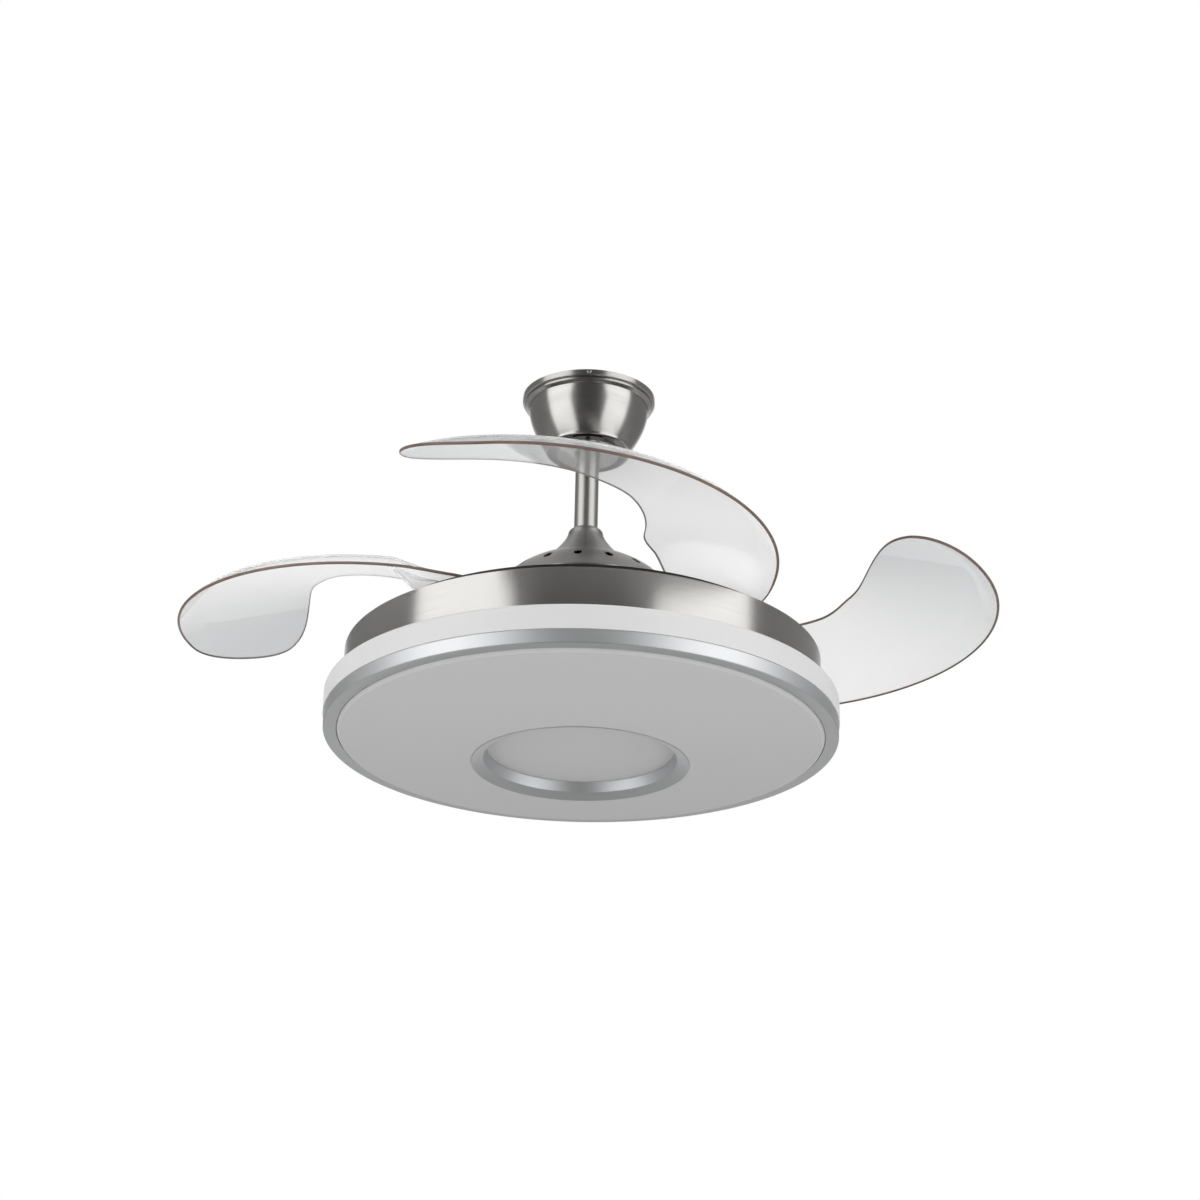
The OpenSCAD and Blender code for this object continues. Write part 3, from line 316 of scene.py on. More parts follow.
def enamelled_copper():
    """Enamelled copper wire of 0.9 mm, wound: glossy red brown, its threads drawn at 1.8 mm."""
    material, tree, shader = start_material("enamelled_copper_wire", linear("#B0602C"), 0.28, 0.85)
    wires = add(tree, "ShaderNodeTexWave", {"Vector": own_place(tree), "Scale": 1000 / 0.9 / 6.28,
                                            "Distortion": 0.6, "Detail": 1.0}, bands_direction="Z")
    vary(tree, shader, wires.outputs["Fac"], (linear("#7C3A18"), linear("#C87740")),
         (0.22, 0.36), (0.6, 0.0003))
    return material


def ferrite():
    """Sintered ferrite magnet: charcoal, dull, with a ground speckle."""
    material, tree, shader = start_material("sintered_ferrite", linear("#3A3B3D"), 0.6)
    vary(tree, shader, grain(tree, 0.8, 2.0), (linear("#2C2D2F"), linear("#4A4B4C")),
         (0.5, 0.7), (0.4, 0.0001))
    return material


def black_powder_coat(colour):
    """Black polyester powder coat on the tray: semi-gloss with a fine orange peel."""
    material, tree, shader = start_material("black_powder_coat", colour, 0.4)
    vary(tree, shader, grain(tree, 1.4, 2.0), (colour, toned(colour, 1.5, 0.004)),
         (0.34, 0.5), (0.3, 0.0001))
    tune(shader, {"Specular IOR Level": 0.4})
    return material


def moulded_rubber():
    """Moulded rubber stops: black, matt and slightly dusty."""
    material, tree, shader = start_material("moulded_rubber", linear("#232324"), 0.75)
    vary(tree, shader, grain(tree, 0.7), (linear("#1B1B1C"), linear("#2E2E2F")),
         (0.65, 0.85), (0.4, 0.0001))
    return material


def white_enamel(colour):
    """White stoved enamel on pressed steel: smooth, with the faintest orange peel."""
    material, tree, shader = start_material("white_stoved_enamel", colour, 0.4)
    vary(tree, shader, grain(tree, 3.0), (colour, toned(colour, 1.05)), (0.34, 0.46),
         (0.1, 0.0001))
    return material


def opal_acrylic(colour):
    """Opal acrylic side ring: milky white that carries light inside, with a soft semi-gloss."""
    material, tree, shader = start_material("opal_acrylic", colour, 0.42)
    milky(shader, 0.25, 0.004, 1.49)
    vary(tree, shader, grain(tree, 6.0, 2.0), (colour, toned(colour, 1.03)), (0.36, 0.48),
         (0.05, 0.0001))
    return material


def frosted_diffuser(name, colour):
    """Frosted polycarbonate diffuser, lamp off: an even grey white with a fine sanded grain."""
    material, tree, shader = start_material(name, colour, 0.6)
    milky(shader, 0.15, 0.003, 1.58)
    vary(tree, shader, grain(tree, 0.9, 2.0), (colour, toned(colour, 1.025)), (0.54, 0.68),
         (0.12, 0.00005))
    return material


def clear_acrylic(tint, tip_grey):
    """Cast acrylic blade: glassy, slightly milky, its base colour greying faintly towards the tip.
    The thin sheet hardly bends what is seen through it, so its body is drawn at 1.12, less than
    acrylic's 1.49, which only the clear coat has."""
    material, tree, shader = start_material("clear_cast_acrylic", tint, 0.02)
    tune(shader, {"Transmission Weight": 0.8, "IOR": 1.12, "Coat Weight": 0.3, "Coat IOR": 1.49,
                  "Coat Roughness": 0.04})
    along = add(tree, "ShaderNodeAttribute", attribute_name="blade_reach").outputs["Fac"]
    # The base colour runs from the tint at 0.3 of the blade's reach to a light grey at the tip
    tip_greying = ramp(tree, along, 0.3, 1.0, 0.0, 1.0)
    tree.links.new(blend(tree, tip_greying, tint, tip_grey), shader.inputs["Base Color"])
    vary(tree, shader, grain(tree, 60.0, 1.0), None, (0.005, 0.02))
    return material


def acrylic_edge(tint):
    """Routed, flame polished blade edge; its brown is a painted reflection of light it gathers
    along the sheet.
    """
    material, tree, shader = start_material("acrylic_edge_painted_reflection", tint, 0.2)
    tune(shader, {"Transmission Weight": 0.15, "IOR": 1.25})
    # Painted reflection: the brown, darker in random patches, stands in for light a clear edge
    # carries along the sheet
    vary(tree, shader, grain(tree, 25.0, 2.0), (toned(tint, 0.5), tint), (0.12, 0.24),
         (0.1, 0.0001))
    return material


def circuit_board():
    """White solder mask on aluminium core board: glossy, with faint copper tracks under it."""
    material, tree, shader = start_material("white_circuit_board", linear("#E9EBE6"), 0.3)
    tracks = add(tree, "ShaderNodeTexBrick", {"Vector": own_place(tree), "Scale": 55.0,
                                              "Mortar Size": 0.03, "Color1": WHITE,
                                              "Color2": WHITE, "Mortar": (0, 0, 0, 1)})
    vary(tree, shader, tracks.outputs["Color"], (linear("#D3D9CF"), linear("#EEF0EB")),
         (0.24, 0.36), (0.2, 0.00005))
    return material


# ---------- helpers for modelling ----------

def clear_selection():
    """Leaves edit mode and deselects everything."""
    if bpy.context.object and bpy.context.object.mode != "OBJECT":
        bpy.ops.object.mode_set(mode="OBJECT")
    bpy.ops.object.select_all(action="DESELECT")


def make_active(piece):
    """Selects one piece alone."""
    clear_selection()
    piece.select_set(True)
    bpy.context.view_layer.objects.active = piece


def join(parts):
    """Joins pieces into the first of them and returns it."""
    make_active(parts[0])
    for part in parts:
        part.select_set(True)
    if len(parts) > 1:
        bpy.ops.object.join()
    return parts[0]


def apply_modifiers(piece):
    """Puts a piece's modifiers into its mesh and leaves it active."""
    make_active(piece)
    for modifier in list(piece.modifiers):
        bpy.ops.object.modifier_apply(modifier=modifier.name)


def settle(piece):
    """Puts the piece's place, turn and size into its mesh."""
    make_active(piece)
    bpy.ops.object.transform_apply(location=True, rotation=True, scale=True)


def smooth_shade(piece, degrees):
    """Shades a piece smooth, apart from edges sharper than an angle."""
    make_active(piece)
    bpy.ops.object.shade_smooth_by_angle(angle=math.radians(degrees))


def cut_away(piece, tool, name):
    """Cuts a tool's shape out of a piece and removes the tool."""
    cut = piece.modifiers.new(name, "BOOLEAN")
    cut.operation = "DIFFERENCE"
    cut.solver = "EXACT"
    cut.object = tool
    apply_modifiers(piece)
    bpy.data.objects.remove(tool)


def copies(model, places, name):
    """One piece made of copies of a model, each put at a matrix, joined and named."""
    parts = []
    for place in places:
        part = model.copy()
        part.data = model.data.copy()
        part.data.transform(place)
        bpy.context.scene.collection.objects.link(part)
        parts.append(part)
    piece = join(parts)
    piece.name = piece.data.name = name
    return piece


def finish_node(names, material):
    """Gives frame nodes their finish, in every material slot."""
    for name in names:
        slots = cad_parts[name].material_slots
        if not slots:
            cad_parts[name].data.materials.append(material)
        for slot in slots:
            slot.material = material


def at_pivot(number):
    """Place of blade number 1 to 4 at its pivot, half open as in the photograph."""
    quarter = Matrix.Rotation(-math.pi / 2 * (number - 1) - VIEW_TURN, 4, "Z")
    pivot = Matrix.Translation((PIVOT_X * MM, -PIVOT_Y * MM, 0))
    return quarter @ pivot @ Matrix.Rotation(SHAPE_TURN, 4, "Z")


def on_circle(turn, radius, height, centre=Matrix.Identity(4)):
    """Place on a level circle round a centre; turn in degrees, lengths in millimetres."""
    return (centre @ Matrix.Rotation(math.radians(turn), 4, "Z")
            @ Matrix.Translation((radius * MM, 0, height * MM)))


# ---------- settings ----------

def colour_setting(name, description, hex_colour):
    """A finish's colour, written as sRGB."""
    return bpy.props.FloatVectorProperty(name=name, description=description, subtype="COLOR",
                                         size=4, min=0, max=1, default=linear(hex_colour))


def length_setting(name, description, millimetres):
    """A length, written in millimetres."""
    return bpy.props.FloatProperty(name=name, description=description, unit="LENGTH",
                                   default=millimetres * MM)


def power_setting(name, description, watts):
    """A lamp's power."""
    return bpy.props.FloatProperty(name=name, description=description, unit="POWER", default=watts)


class FanFinishSettings(bpy.types.PropertyGroup):
    """Colours of the fan's visible finishes."""
    nickel: colour_setting(
        "Brushed nickel", "Colour of canopy, rod, cone, motor cover and band", "#BFBDBA")
    shell: colour_setting("Motor shell", "Colour of the turning motor shell", "#A9A8A6")
    aluminium: colour_setting("Aluminium rings", "Colour of the rim and the trim ring", "#D6D7D8")
    tray: colour_setting("Blade tray", "Colour of the black tray under the blades", "#19191B")
    side_ring: colour_setting("Side ring", "Colour of the opal ring round the light", "#D7D7D7")
    diffuser: colour_setting(
        "Diffuser", "Colour of the frosted diffusers with the light off", "#CCCCCC")
    blade_tint: colour_setting("Blade tint", "Tint of the clear blades", "#FCFCFC")
    # Light grey that the blades' base colour reaches at their tips
    blade_smoke: colour_setting("Blade smoke", "Faint grey of the blades at their tips", "#DCDDDE")
    # Painted reflection: a brown that stands in for the light a clear blade edge gathers along the
    # sheet
    blade_edge: colour_setting(
        "Blade edge", "Colour that the polished edges of the blades gather", "#8A756C")


class FanBladeSettings(bpy.types.PropertyGroup):
    """Sizes of a blade, which match the frame's to less than a millimetre."""
    inner_radius: length_setting("Inner radius", "Inner edge of a folded blade", 92)
    outer_radius: length_setting("Outer radius", "Outer edge of a folded blade", 231.4)
    tip_radius: length_setting("Tip radius", "Radius on which a folded blade's tip lies", 181)
    hollow: length_setting("Hollow", "Hollow of the inner edge near the root", 7)
    thickness: length_setting("Thickness", "Thickness of the acrylic", 3)
    lift: length_setting("Lift", "Height of the blade's inner edge above the tray", 54.6)
    rise: length_setting("Rise", "Climb of the blade over a quarter turn", 19.3)
    slope: bpy.props.FloatProperty(
        name="Slope", description="Fall towards the outer edge, per unit of width", default=0.244)
    lip: length_setting("Lip", "Drop of the turned-down outer edge", 13)
    tip_azimuth: bpy.props.FloatProperty(
        name="Tip azimuth", description="Where the folded blade's tip lies round the axis",
        default=math.radians(200), unit="ROTATION")
    stations: bpy.props.IntProperty(
        name="Stations", description="Faces along a blade", default=190, min=20)
    lanes: bpy.props.IntProperty(
        name="Lanes", description="Faces across a blade", default=40, min=6)


class FanStageSettings(bpy.types.PropertyGroup):
    """The studio round the fan."""
    room_height: length_setting(
        "Room height", "Floor below the ceiling that the fan hangs from", 2600)
    floor: colour_setting("Floor", "Colour of the plain floor", "#F4F4F4")
    high_box_power: power_setting(
        "High boxes", "Power of each of the two soft boxes above the fan", 10.0)
    low_box_power: power_setting(
        "Low boxes", "Power of each of the two soft boxes below the fan", 18.0)


# ---------- shape of a blade ----------

def clamp(t):
    """A number held between 0 and 1."""
    return min(1.0, max(0.0, t))


def smooth(t):
    """A soft step from 0 to 1."""
    c = clamp(t)
    return c * c * (3 - 2 * c)


def turn_in(azimuth, start, end, power):
    """How far an edge has turned in, from 0 at the start to 1 at the end, where it runs square
    to the arc, as a rounded end does."""
    return 1 - math.sqrt(max(0.0, 1 - clamp((azimuth - start) / (end - start)) ** power))


def blade_edges(size, azimuth):
    """Inner and outer radius of a folded blade at an azimuth in degrees, in millimetres."""
    inner, outer = size.inner_radius / MM, size.outer_radius / MM
    tip, tip_radius = math.degrees(size.tip_azimuth), size.tip_radius / MM
    low = (inner + (tip_radius - inner) * turn_in(azimuth, INNER_TIP_START, tip, INNER_TIP_POWER)
           + (PIVOT_RADIUS - inner) * turn_in(azimuth, INNER_ROOT_END, ROOT_AZIMUTH, ROOT_POWER)
           + size.hollow / MM * smooth((azimuth - HOLLOW_START) / HOLLOW_RISE)
           * smooth((HOLLOW_END - azimuth) / HOLLOW_FALL))
    high = (outer - (outer - tip_radius) * turn_in(azimuth, OUTER_TIP_START, tip, OUTER_TIP_POWER)
            - (outer - PIVOT_RADIUS) * turn_in(azimuth, OUTER_ROOT_END, ROOT_AZIMUTH, ROOT_POWER))
    return low, high


def edge_slants(size, azimuth):
    """How much longer a step across each rim is on a radius than square across its slanted edge."""
    step = 0.01
    here = min(max(azimuth, ROOT_AZIMUTH + step), math.degrees(size.tip_azimuth) - step)
    slants = []
    for before, after in zip(blade_edges(size, here - step), blade_edges(size, here + step)):
        along = math.radians(2 * step) * (before + after) / 2
        slants.append(math.hypot(along, after - before) / along)
    return slants


def blade_point(size, azimuth, across):
    """Middle of the blade, measured from its pivot: azimuth in degrees, across from 0 to 1."""
    low, high = blade_edges(size, azimuth)
    radius = low + (high - low) * across
    angle = math.radians(azimuth)
    x, y = radius * math.cos(angle) - PIVOT_X, radius * math.sin(angle) - PIVOT_Y
    away = smooth((math.hypot(x, y) - FLAT_ROOT) / ROOT_BLEND)
    climb = (TRAY_TOP + size.lift / MM + size.rise / MM * (azimuth - CLIMB_START) / 90
             - size.slope * (radius - size.inner_radius / MM))
    fade = smooth((math.degrees(size.tip_azimuth) - azimuth) / LIP_FADE)
    lip = size.lip / MM * fade * max(0.0, (2 * across - 1 - LIP_START) / LIP_WIDTH) ** 2
    height = ROOT_HEIGHT * (1 - away) + (climb - lip) * away
    return Vector((x, -y, height)) * MM


def blade_normal(size, azimuth, across):
    """Upward normal of the blade's middle, from two short steps that stay inside its outline."""
    margin, step, side_step = 0.6, 0.2, 0.005
    here = min(max(azimuth, ROOT_AZIMUTH + margin), math.degrees(size.tip_azimuth) - margin)
    middle = min(max(across, 0.01), 0.99)
    forward = blade_point(size, here + step, middle) - blade_point(size, here - step, middle)
    sideways = (blade_point(size, here, middle + side_step)
                - blade_point(size, here, middle - side_step))
    normal = forward.cross(sideways)
    if normal.length < 1e-12:
        return Vector((0, 0, 1))
    normal.normalize()
    return normal if normal.z > 0 else -normal


# ---------- operators ----------

class FAN_OT_metal_covers(bpy.types.Operator):
    """Brushed nickel of the canopy, rod, cone, motor cover and band"""
    bl_idname = "fan.metal_covers"
    bl_label = "Metal covers"

    def execute(self, context):
        colour = tuple(context.scene.fan_finish.nickel)
        shell = tuple(context.scene.fan_finish.shell)
        finish_node(["canopy"],
                    brushed_nickel("brushed_nickel_canopy", colour, (0.2, 0.3), 0.9, 0.2, 0.6))
        finish_node(["downrod"],
                    brushed_nickel("brushed_nickel_rod", colour, (0.3, 0.42), 1.4, 0.1, 0.2))
        finish_node(["coupling_cover", "motor_top_cover"],
                    brushed_nickel("brushed_nickel_motor_cover", colour, (0.3, 0.42)))
        finish_node(["top_band"],
                    brushed_nickel("brushed_nickel_band", colour, (0.2, 0.3), 1.1, 0.25, 0.7))
        finish_node(["rod_cover_disc"], polished_spun_nickel(colour))
        finish_node(["motor_shell_upper", "motor_shell_lower"],
                    brushed_nickel("brushed_motor_shell", shell, (0.34, 0.46)))
        return {"FINISHED"}


class FAN_OT_rings(bpy.types.Operator):
    """Satin aluminium of the rim and the trim ring"""
    bl_idname = "fan.rings"
    bl_label = "Aluminium rings"

    def execute(self, context):
        finish_node(["rim_ring", "trim_ring"],
                    satin_aluminium(tuple(context.scene.fan_finish.aluminium)))
        return {"FINISHED"}


class FAN_OT_hanger(bpy.types.Operator):
    """Finishes of the bracket, ball, pins and terminal block"""
    bl_idname = "fan.hanger"
    bl_label = "Hanger"

    def execute(self, context):
        finish_node(["ceiling_bracket", "ball_pin", "rod_cross_pin", "cross_pin_clip",
                     "yoke_set_screw", "pivot_pins", "shaft_nut"], zinc_plated_steel())
        finish_node(["hanger_ball"], moulded_nylon("black_nylon", "#242527", "#343538"))
        finish_node(["terminal_block"],
                    moulded_nylon("ivory_terminal_nylon", "#D9D3C0", "#E8E2D0"))
        return {"FINISHED"}


class FAN_OT_motor(bpy.types.Operator):
    """Finishes of the motor's inner pieces"""
    bl_idname = "fan.motor"
    bl_label = "Motor"

    def execute(self, context):
        finish_node(["motor_yoke"], cast_zinc())
        finish_node(["motor_shaft", "upper_bearing", "lower_bearing"], ground_steel())
        finish_node(["stator_core"], electrical_steel())
        finish_node(["stator_windings"], enamelled_copper())
        finish_node(["rotor_magnets"], ferrite())
        return {"FINISHED"}


class FAN_OT_tray(bpy.types.Operator):
    """Finishes of the black tray, gears, carriers and stops"""
    bl_idname = "fan.tray"
    bl_label = "Blade tray"

    def execute(self, context):
        finish_node(["blade_tray", "tray_cover"],
                    black_powder_coat(tuple(context.scene.fan_finish.tray)))
        finish_node(["blade_carrier_%d" % n for n in range(1, 5)],
                    moulded_nylon("black_carrier_nylon", "#1B1B1D", "#2A2A2D"))
        finish_node(["blade_gear_%d" % n for n in range(1, 5)] + ["linking_ring"],
                    moulded_nylon("natural_acetal", "#E2DECF", "#EFEBDD", (0.3, 0.42), 2.0))
        finish_node(["stop_bumpers"], moulded_rubber())
        return {"FINISHED"}


class FAN_OT_light(bpy.types.Operator):
    """Finishes of the round light"""
    bl_idname = "fan.light"
    bl_label = "Round light"

    def execute(self, context):
        colours = context.scene.fan_finish
        finish_node(["side_light_ring"], opal_acrylic(tuple(colours.side_ring)))
        finish_node(["main_diffuser", "centre_diffuser"],
                    frosted_diffuser("frosted_polycarbonate", tuple(colours.diffuser)))
        finish_node(["lamp_chassis", "led_plate", "centre_cup"], white_enamel(linear("#DEDFDF")))
        finish_node(["led_board", "centre_led_board"], circuit_board())
        finish_node(["led_driver"],
                    moulded_nylon("grey_driver_case", "#C9CBCB", "#D8DADA", (0.4, 0.5), 1.6))
        return {"FINISHED"}


class FAN_OT_blades(bpy.types.Operator):
    """The four clear blades, thermoformed with rounded polished edges, in place of the frame's"""
    bl_idname = "fan.blades"
    bl_label = "Clear blades"

    def execute(self, context):
        size = context.scene.fan_blade
        colours = context.scene.fan_finish
        finishes = (clear_acrylic(tuple(colours.blade_tint), tuple(colours.blade_smoke)),
                    acrylic_edge(tuple(colours.blade_edge)))
        model = join([blade_face(size, side, finishes) for side in (1, -1)])
        bpy.ops.object.mode_set(mode="EDIT")
        bpy.ops.mesh.select_all(action="SELECT")
        bpy.ops.mesh.remove_doubles(threshold=0.00002)
        bpy.ops.mesh.delete_loose()
        bpy.ops.mesh.select_all(action="SELECT")
        bpy.ops.mesh.normals_make_consistent(inside=False)
        bpy.ops.object.mode_set(mode="OBJECT")
        drill_blade(model)
        smooth_shade(model, 55)
        for number in range(1, 5):
            blade = copies(model, [at_pivot(number)], "clear_blade_%d" % number)
            blade.visible_shadow = False
            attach(blade, "blade_arm_%d" % number)
            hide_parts("blade_%d" % number)
        bpy.data.objects.remove(model)
        return {"FINISHED"}


def blade_face(size, side, finishes):
    """Upper (1) or lower (-1) face of a blade: a grid on its middle, rounded off at the edge.
    Its rows crowd towards the edge, its rim faces get the second finish, and blade_reach runs
    from 0 at the root to 1 at the tip. Lengths in millimetres until a vertex is placed."""
    clear_selection()
    rows = 2 * len(RIM_STEPS) + size.lanes
    bpy.ops.mesh.primitive_grid_add(x_subdivisions=size.stations, y_subdivisions=rows - 1, size=1)
    face = bpy.context.object
    half = size.thickness / MM / 2
    tip = math.degrees(size.tip_azimuth)
    in_rim = []
    reach = []
    for vertex in face.data.vertices:
        along = round((vertex.co.x + 0.5) * size.stations) / size.stations
        row = round((vertex.co.y + 0.5) * (rows - 1))
        azimuth = ROOT_AZIMUTH + (tip - ROOT_AZIMUTH) * (0.5 - 0.5 * math.cos(math.pi * along))
        low, high = blade_edges(size, azimuth)
        width = max(high - low, 0.001)
        slant_low, slant_high = edge_slants(size, azimuth)
        first = RIM_STEPS[-1] * slant_low
        last = RIM_STEPS[-1] * slant_high
        squeeze = min(1.0, RIM_SHARE * width / (first + last))
        if row < len(RIM_STEPS):
            offset = RIM_STEPS[row] * slant_low * squeeze
        elif row >= rows - len(RIM_STEPS):
            offset = width - RIM_STEPS[rows - 1 - row] * slant_high * squeeze
        else:
            start, end = first * squeeze, width - last * squeeze
            offset = start + (end - start) * (row - len(RIM_STEPS) + 1) / (size.lanes + 1)
        across = offset / width
        inward = min(offset / slant_low, (width - offset) / slant_high)
        round_off = 1 - min(1.0, max(0.0, inward) / ROUNDING)
        middle = blade_point(size, azimuth, across)
        out = side * half * MM * math.sqrt(max(0.0, 1 - round_off * round_off))
        vertex.co = middle + blade_normal(size, azimuth, across) * out
        in_rim.append(inward < ROUNDING + 0.01)
        reach.append((azimuth - ROOT_AZIMUTH) / (tip - ROOT_AZIMUTH))
    face.data.attributes.new("blade_reach", "FLOAT", "POINT").data.foreach_set("value", reach)
    for finish in finishes:
        face.data.materials.append(finish)
    for polygon in face.data.polygons:
        polygon.material_index = int(all(in_rim[i] for i in polygon.vertices))
    return face


def drill_blade(sheet):
    """Cuts the three screw holes at the blade's root."""
    clear_selection()
    drills = []
    for turn in BLADE_SCREW_TURNS:
        angle = math.radians(turn)
        bpy.ops.mesh.primitive_cylinder_add(
            vertices=24, radius=BLADE_HOLE_RADIUS * MM, depth=12 * MM,
            location=(BLADE_SCREW_CIRCLE * MM * math.cos(angle),
                      BLADE_SCREW_CIRCLE * MM * math.sin(angle), ROOT_HEIGHT * MM))
        drills.append(bpy.context.object)
    drill = join(drills)
    settle(drill)
    cut_away(sheet, drill, "screw holes")


def pan_head_screw(head_r, head_h, shank_r, shank_h):
    """A pan head screw whose head rests on z = 0, with rounded head, cross recess and pointed
    shank. Sizes in millimetres."""
    point_taper, head_rounding = 0.55, 0.62
    bar_length, bar_width, bar_height = 1.15, 0.26, 0.85
    clear_selection()
    bpy.ops.mesh.primitive_cylinder_add(vertices=28, radius=head_r * MM, depth=head_h * MM,
                                        location=(0, 0, head_h / 2 * MM))
    piece = bpy.context.object
    settle(piece)
    bpy.ops.object.mode_set(mode="EDIT")
    bpy.ops.mesh.select_all(action="DESELECT")
    bpy.ops.mesh.select_mode(type="FACE")
    mesh = bmesh.from_edit_mesh(piece.data)
    for face in mesh.faces:
        face.select_set(face.normal.z < -0.9)
    bmesh.update_edit_mesh(piece.data)
    bpy.ops.mesh.inset(thickness=(head_r - shank_r) * MM)
    bpy.ops.mesh.extrude_region_move(TRANSFORM_OT_translate={"value": (0, 0, -shank_h * MM)})
    bpy.ops.transform.resize(value=(point_taper, point_taper, 1))
    bpy.ops.mesh.select_all(action="DESELECT")
    bpy.ops.mesh.select_mode(type="EDGE")
    mesh = bmesh.from_edit_mesh(piece.data)
    for edge in mesh.edges:
        edge.select_set(all(v.co.z > (head_h - 0.01) * MM for v in edge.verts))
    bmesh.update_edit_mesh(piece.data)
    bpy.ops.mesh.bevel(offset=head_h * head_rounding * MM, segments=4, profile=0.6)
    bpy.ops.object.mode_set(mode="OBJECT")
    clear_selection()
    bars = []
    for turn in (0, math.pi / 2):
        bpy.ops.mesh.primitive_cube_add(
            size=1, location=(0, 0, head_h * bar_height * MM), rotation=(0, 0, turn),
            scale=(head_r * bar_length * MM, head_r * bar_width * MM, head_h * MM))
        bars.append(bpy.context.object)
    for bar in bars:
        settle(bar)
        cut_away(piece, bar, "recess")
    smooth_shade(piece, 38)
    return piece


class FAN_OT_screws(bpy.types.Operator):
    """Pan head screws with cross recesses, in place of the frame's plain ones"""
    bl_idname = "fan.screws"
    bl_label = "Screws"

    def execute(self, context):
        steel = zinc_plated_steel()
        steel.name = "zinc_plated_screw_steel"
        model = pan_head_screw(3, 1.8, 1.5, 14)
        for number in range(1, 5):
            places = [on_circle(turn, BLADE_SCREW_CIRCLE, ROOT_HEIGHT + BLADE_SCREW_SEAT,
                                at_pivot(number)) for turn in BLADE_SCREW_TURNS]
            self.place(model, places, "blade_screws_set_%d" % number, "blade_screws_%d" % number,
                       "blade_arm_%d" % number, steel)
        bpy.data.objects.remove(model)
        model = pan_head_screw(3.2, 1.6, 1.6, 7)
        places = [on_circle(first + 360 / count * i, radius, TRAY_TOP + TRAY_SCREW_SEAT)
                  for count, radius, first in TRAY_SCREWS for i in range(count)]
        self.place(model, places, "tray_screw_set", "tray_screws", "rotor", steel)
        bpy.data.objects.remove(model)
        model = pan_head_screw(2.4, 1.5, 1.6, 7.9)
        places = [Matrix.Translation((0, side * CANOPY_SCREW_REACH * MM, CANOPY_SCREW_HEIGHT * MM))
                  @ Matrix.Rotation(math.radians(-90 * side), 4, "X") for side in (-1, 1)]
        self.place(model, places, "canopy_screw_pair", "canopy_screws", "ceiling_mount", steel)
        bpy.data.objects.remove(model)
        finish_node(["cover_screws", "shell_screws"], steel)
        return {"FINISHED"}

    @staticmethod
    def place(model, places, name, node, body, steel):
        """Puts copies of a screw in the place of a node, on a body."""
        piece = copies(model, places, name)
        piece.data.materials.clear()
        piece.data.materials.append(steel)
        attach(piece, body)
        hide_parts(node)


class FAN_OT_springs(bpy.types.Operator):
    """Coiled return springs round the blade pivots"""
    bl_idname = "fan.springs"
    bl_label = "Return springs"

    def execute(self, context):
        low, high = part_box("return_springs")
        wire = SPRING_WIRE * MM
        clear_selection()
        bpy.ops.mesh.primitive_circle_add(
            vertices=10, radius=wire, fill_type="NOTHING", rotation=(math.pi / 2, 0, 0),
            location=(SPRING_RADIUS * MM, 0, low.z + 1.05 * wire))
        coil = context.object
        settle(coil)
        wind = coil.modifiers.new("wind", "SCREW")
        wind.axis = "Z"
        wind.angle = 2 * math.pi
        wind.iterations = SPRING_TURNS
        wind.screw_offset = (high.z - low.z - 2.1 * wire) / SPRING_TURNS
        wind.steps = wind.render_steps = 40
        apply_modifiers(coil)
        bpy.ops.object.mode_set(mode="EDIT")
        bpy.ops.mesh.select_all(action="SELECT")
        bpy.ops.mesh.remove_doubles(threshold=0.00001)
        bpy.ops.mesh.select_all(action="DESELECT")
        bpy.ops.mesh.select_non_manifold()
        bpy.ops.mesh.edge_face_add()
        bpy.ops.mesh.select_all(action="SELECT")
        bpy.ops.mesh.normals_make_consistent(inside=False)
        bpy.ops.object.mode_set(mode="OBJECT")
        smooth_shade(coil, 50)
        coil.data.materials.append(spring_steel())
        springs = copies(coil, [at_pivot(n) for n in range(1, 5)], "wound_return_springs")
        bpy.data.objects.remove(coil)
        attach(springs, "rotor")
        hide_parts("return_springs")
        return {"FINISHED"}


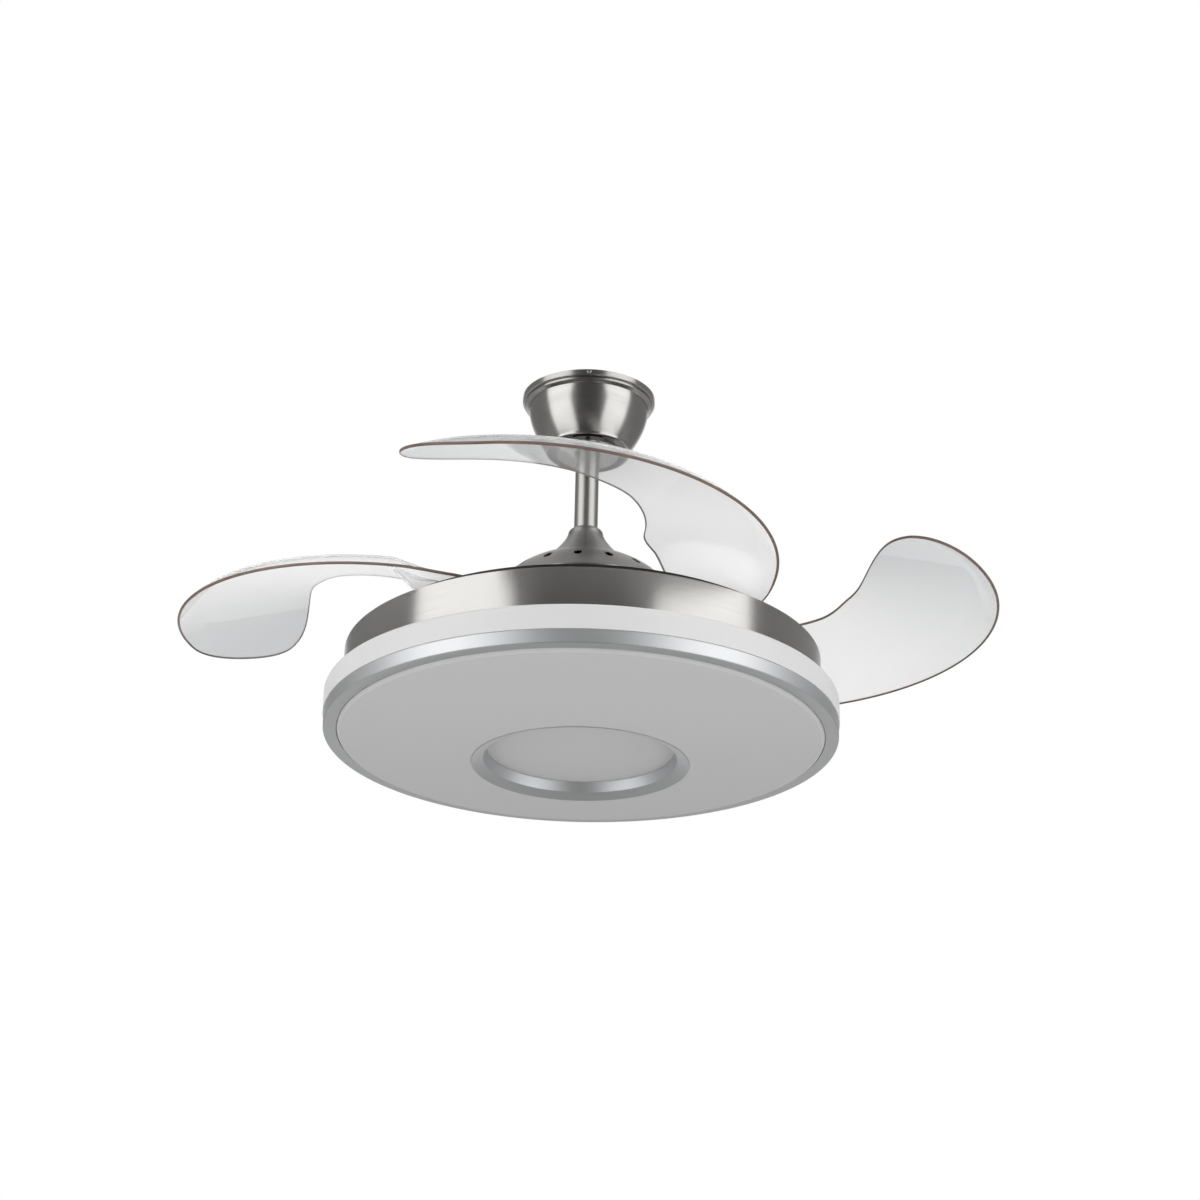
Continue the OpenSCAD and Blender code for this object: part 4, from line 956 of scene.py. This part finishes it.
class FAN_OT_stage(bpy.types.Operator):
    """Camera, pale floor, white surround and soft lamps"""
    bl_idname = "fan.stage"
    bl_label = "Studio"

    def execute(self, context):
        scene = context.scene
        stage = scene.fan_stage
        scene.view_settings.view_transform = "Standard"
        self.camera(scene)
        self.surround(scene)
        self.floor(stage)
        for level, (x, y, z), size, power in (
                ("high", (1.62, -1.08, 0.62), (1.9, 0.95), stage.high_box_power),
                ("low", (1.6, -1.03, -0.85), (1.8, 2.0), stage.low_box_power)):
            self.lamp("%s_left_box" % level, (-x, y, z), size, power)
            self.lamp("%s_right_box" % level, (x, y, z), size, power)
        return {"FINISHED"}

    @staticmethod
    def camera(scene):
        """The photograph's view: from below and in front, looking up 23 degrees."""
        yaw, pitch, roll = (math.radians(a) for a in (CAMERA_YAW, CAMERA_PITCH, CAMERA_ROLL))
        ahead = Vector((math.sin(yaw) * math.cos(pitch), math.cos(yaw) * math.cos(pitch),
                        math.sin(pitch)))
        right = ahead.cross(Vector((0, 0, 1))).normalized()
        up = right.cross(ahead)
        turned_right = right * math.cos(roll) + up * math.sin(roll)
        turned_up = up * math.cos(roll) - right * math.sin(roll)
        data = bpy.data.cameras.new("photo_camera")
        data.lens = CAMERA_LENS
        data.sensor_width = CAMERA_SENSOR
        data.clip_end = 50
        camera = bpy.data.objects.new("photo_camera", data)
        turn = Matrix((turned_right, turned_up, -ahead)).transposed()
        camera.matrix_world = Matrix.Translation(CAMERA_PLACE) @ turn.to_4x4()
        scene.collection.objects.link(camera)
        scene.camera = camera

    @staticmethod
    def surround(scene):
        """White to the eye and through the blades. The gloss, also through a blade, sees a dark
        card round the camera, one on each side, a grey ceiling, and white at the back."""
        world = bpy.data.worlds.new("studio_surround")
        scene.world = world
        world.use_nodes = True
        tree = world.node_tree
        direction = add(tree, "ShaderNodeTexCoord").outputs["Generated"]
        height, _, heading = level_parts(tree, direction)
        back = add(tree, "ShaderNodeSeparateXYZ", {0: heading}).outputs[1]
        low_side = ramp(tree, height, -0.5, -0.1, PLAIN_LEVEL, SIDE_CARD)
        side = ramp(tree, back, 0.86, 0.99, low_side, 1.0)
        front = ramp(tree, back, -0.98, -0.86, FRONT_CARD, side)
        room = ramp(tree, height, 0.6, 0.85, front, GREY_CEILING)
        path = add(tree, "ShaderNodeLightPath").outputs
        in_gloss = maths(tree, "GREATER_THAN", path["Glossy Depth"], 0.5)
        through = maths(tree, "SUBTRACT", path["Is Transmission Ray"], in_gloss)
        gloss = between(tree, in_gloss, PLAIN_LEVEL, room)
        seen = maths(tree, "MAXIMUM", path["Is Camera Ray"], through)
        background = tree.nodes["Background"]
        background.inputs["Color"].default_value = WHITE
        tree.links.new(between(tree, seen, gloss, 1.0), background.inputs["Strength"])

    @staticmethod
    def floor(stage):
        """A plain pale floor at a room's height below the ceiling. For glossy rays its near part is
        painted near black: a painted dark reflection in place of a dark card."""
        clear_selection()
        bpy.ops.mesh.primitive_plane_add(size=FLOOR_SIZE, location=(0, 0, -stage.room_height))
        floor = bpy.context.object
        floor.name = "studio_floor"
        settle(floor)
        paint = tuple(stage.floor)
        material, tree, shader = start_material("matt_floor_paint", paint, 0.8)
        back = add(tree, "ShaderNodeSeparateXYZ", {0: own_place(tree)}).outputs[1]
        path = add(tree, "ShaderNodeLightPath").outputs
        # Painted dark reflection: glossy rays see the floor's near part painted towards #101010, as
        # if a dark card lay there
        painted_reflection_dark = ramp(tree, back, -0.6, 1.6, FRONT_CARD, 1.0)
        level = between(tree, path["Is Glossy Ray"], 1.0, painted_reflection_dark)
        speckled = blend(tree, grain(tree, 40.0), linear("#F1F1F1"), paint)
        tree.links.new(blend(tree, level, linear("#101010"), speckled), shader.inputs["Base Color"])
        seen = maths(tree, "MAXIMUM", path["Is Camera Ray"], path["Is Transmission Ray"])
        glow = maths(tree, "MULTIPLY", seen, FLOOR_GLOW)
        tree.links.new(glow, shader.inputs["Emission Strength"])
        tune(shader, {"Emission Color": WHITE})
        floor.data.materials.append(material)

    @staticmethod
    def lamp(name, place, size, power):
        """A soft box that points at the fan, unseen by the eye and through the blades."""
        data = bpy.data.lights.new(name, "AREA")
        data.shape = "RECTANGLE"
        data.size, data.size_y = size
        data.energy = power
        lamp = bpy.data.objects.new(name, data)
        aim = Vector(LAMP_AIM) - Vector(place)
        turn = aim.to_track_quat("-Z", "Y").to_matrix().to_4x4()
        lamp.matrix_world = Matrix.Translation(place) @ turn
        lamp.visible_camera = lamp.visible_transmission = False
        bpy.context.scene.collection.objects.link(lamp)


class FAN_PT_panel(bpy.types.Panel):
    """Lists the steps that dress the fan"""
    bl_label = "Ceiling Fan"
    bl_idname = "FAN_PT_panel"
    bl_space_type = "VIEW_3D"
    bl_region_type = "UI"
    bl_category = "Ceiling Fan"

    def draw(self, context):
        for step in STEPS:
            self.layout.operator(step.bl_idname)


STEPS = (FAN_OT_stage, FAN_OT_metal_covers, FAN_OT_rings, FAN_OT_hanger, FAN_OT_motor,
         FAN_OT_tray, FAN_OT_light, FAN_OT_blades, FAN_OT_screws, FAN_OT_springs)
CLASSES = (FanFinishSettings, FanBladeSettings, FanStageSettings) + STEPS + (FAN_PT_panel,)


def register():
    for kind in CLASSES:
        bpy.utils.register_class(kind)
    bpy.types.Scene.fan_finish = bpy.props.PointerProperty(type=FanFinishSettings)
    bpy.types.Scene.fan_blade = bpy.props.PointerProperty(type=FanBladeSettings)
    bpy.types.Scene.fan_stage = bpy.props.PointerProperty(type=FanStageSettings)


def unregister():
    del bpy.types.Scene.fan_stage
    del bpy.types.Scene.fan_blade
    del bpy.types.Scene.fan_finish
    for kind in reversed(CLASSES):
        bpy.utils.unregister_class(kind)


def main():
    """Registers the add-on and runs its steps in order."""
    register()
    bpy.ops.fan.stage()
    bpy.ops.fan.metal_covers()
    bpy.ops.fan.rings()
    bpy.ops.fan.hanger()
    bpy.ops.fan.motor()
    bpy.ops.fan.tray()
    bpy.ops.fan.light()
    bpy.ops.fan.blades()
    bpy.ops.fan.screws()
    bpy.ops.fan.springs()
    clear_selection()


if __name__ == "__main__":
    main()
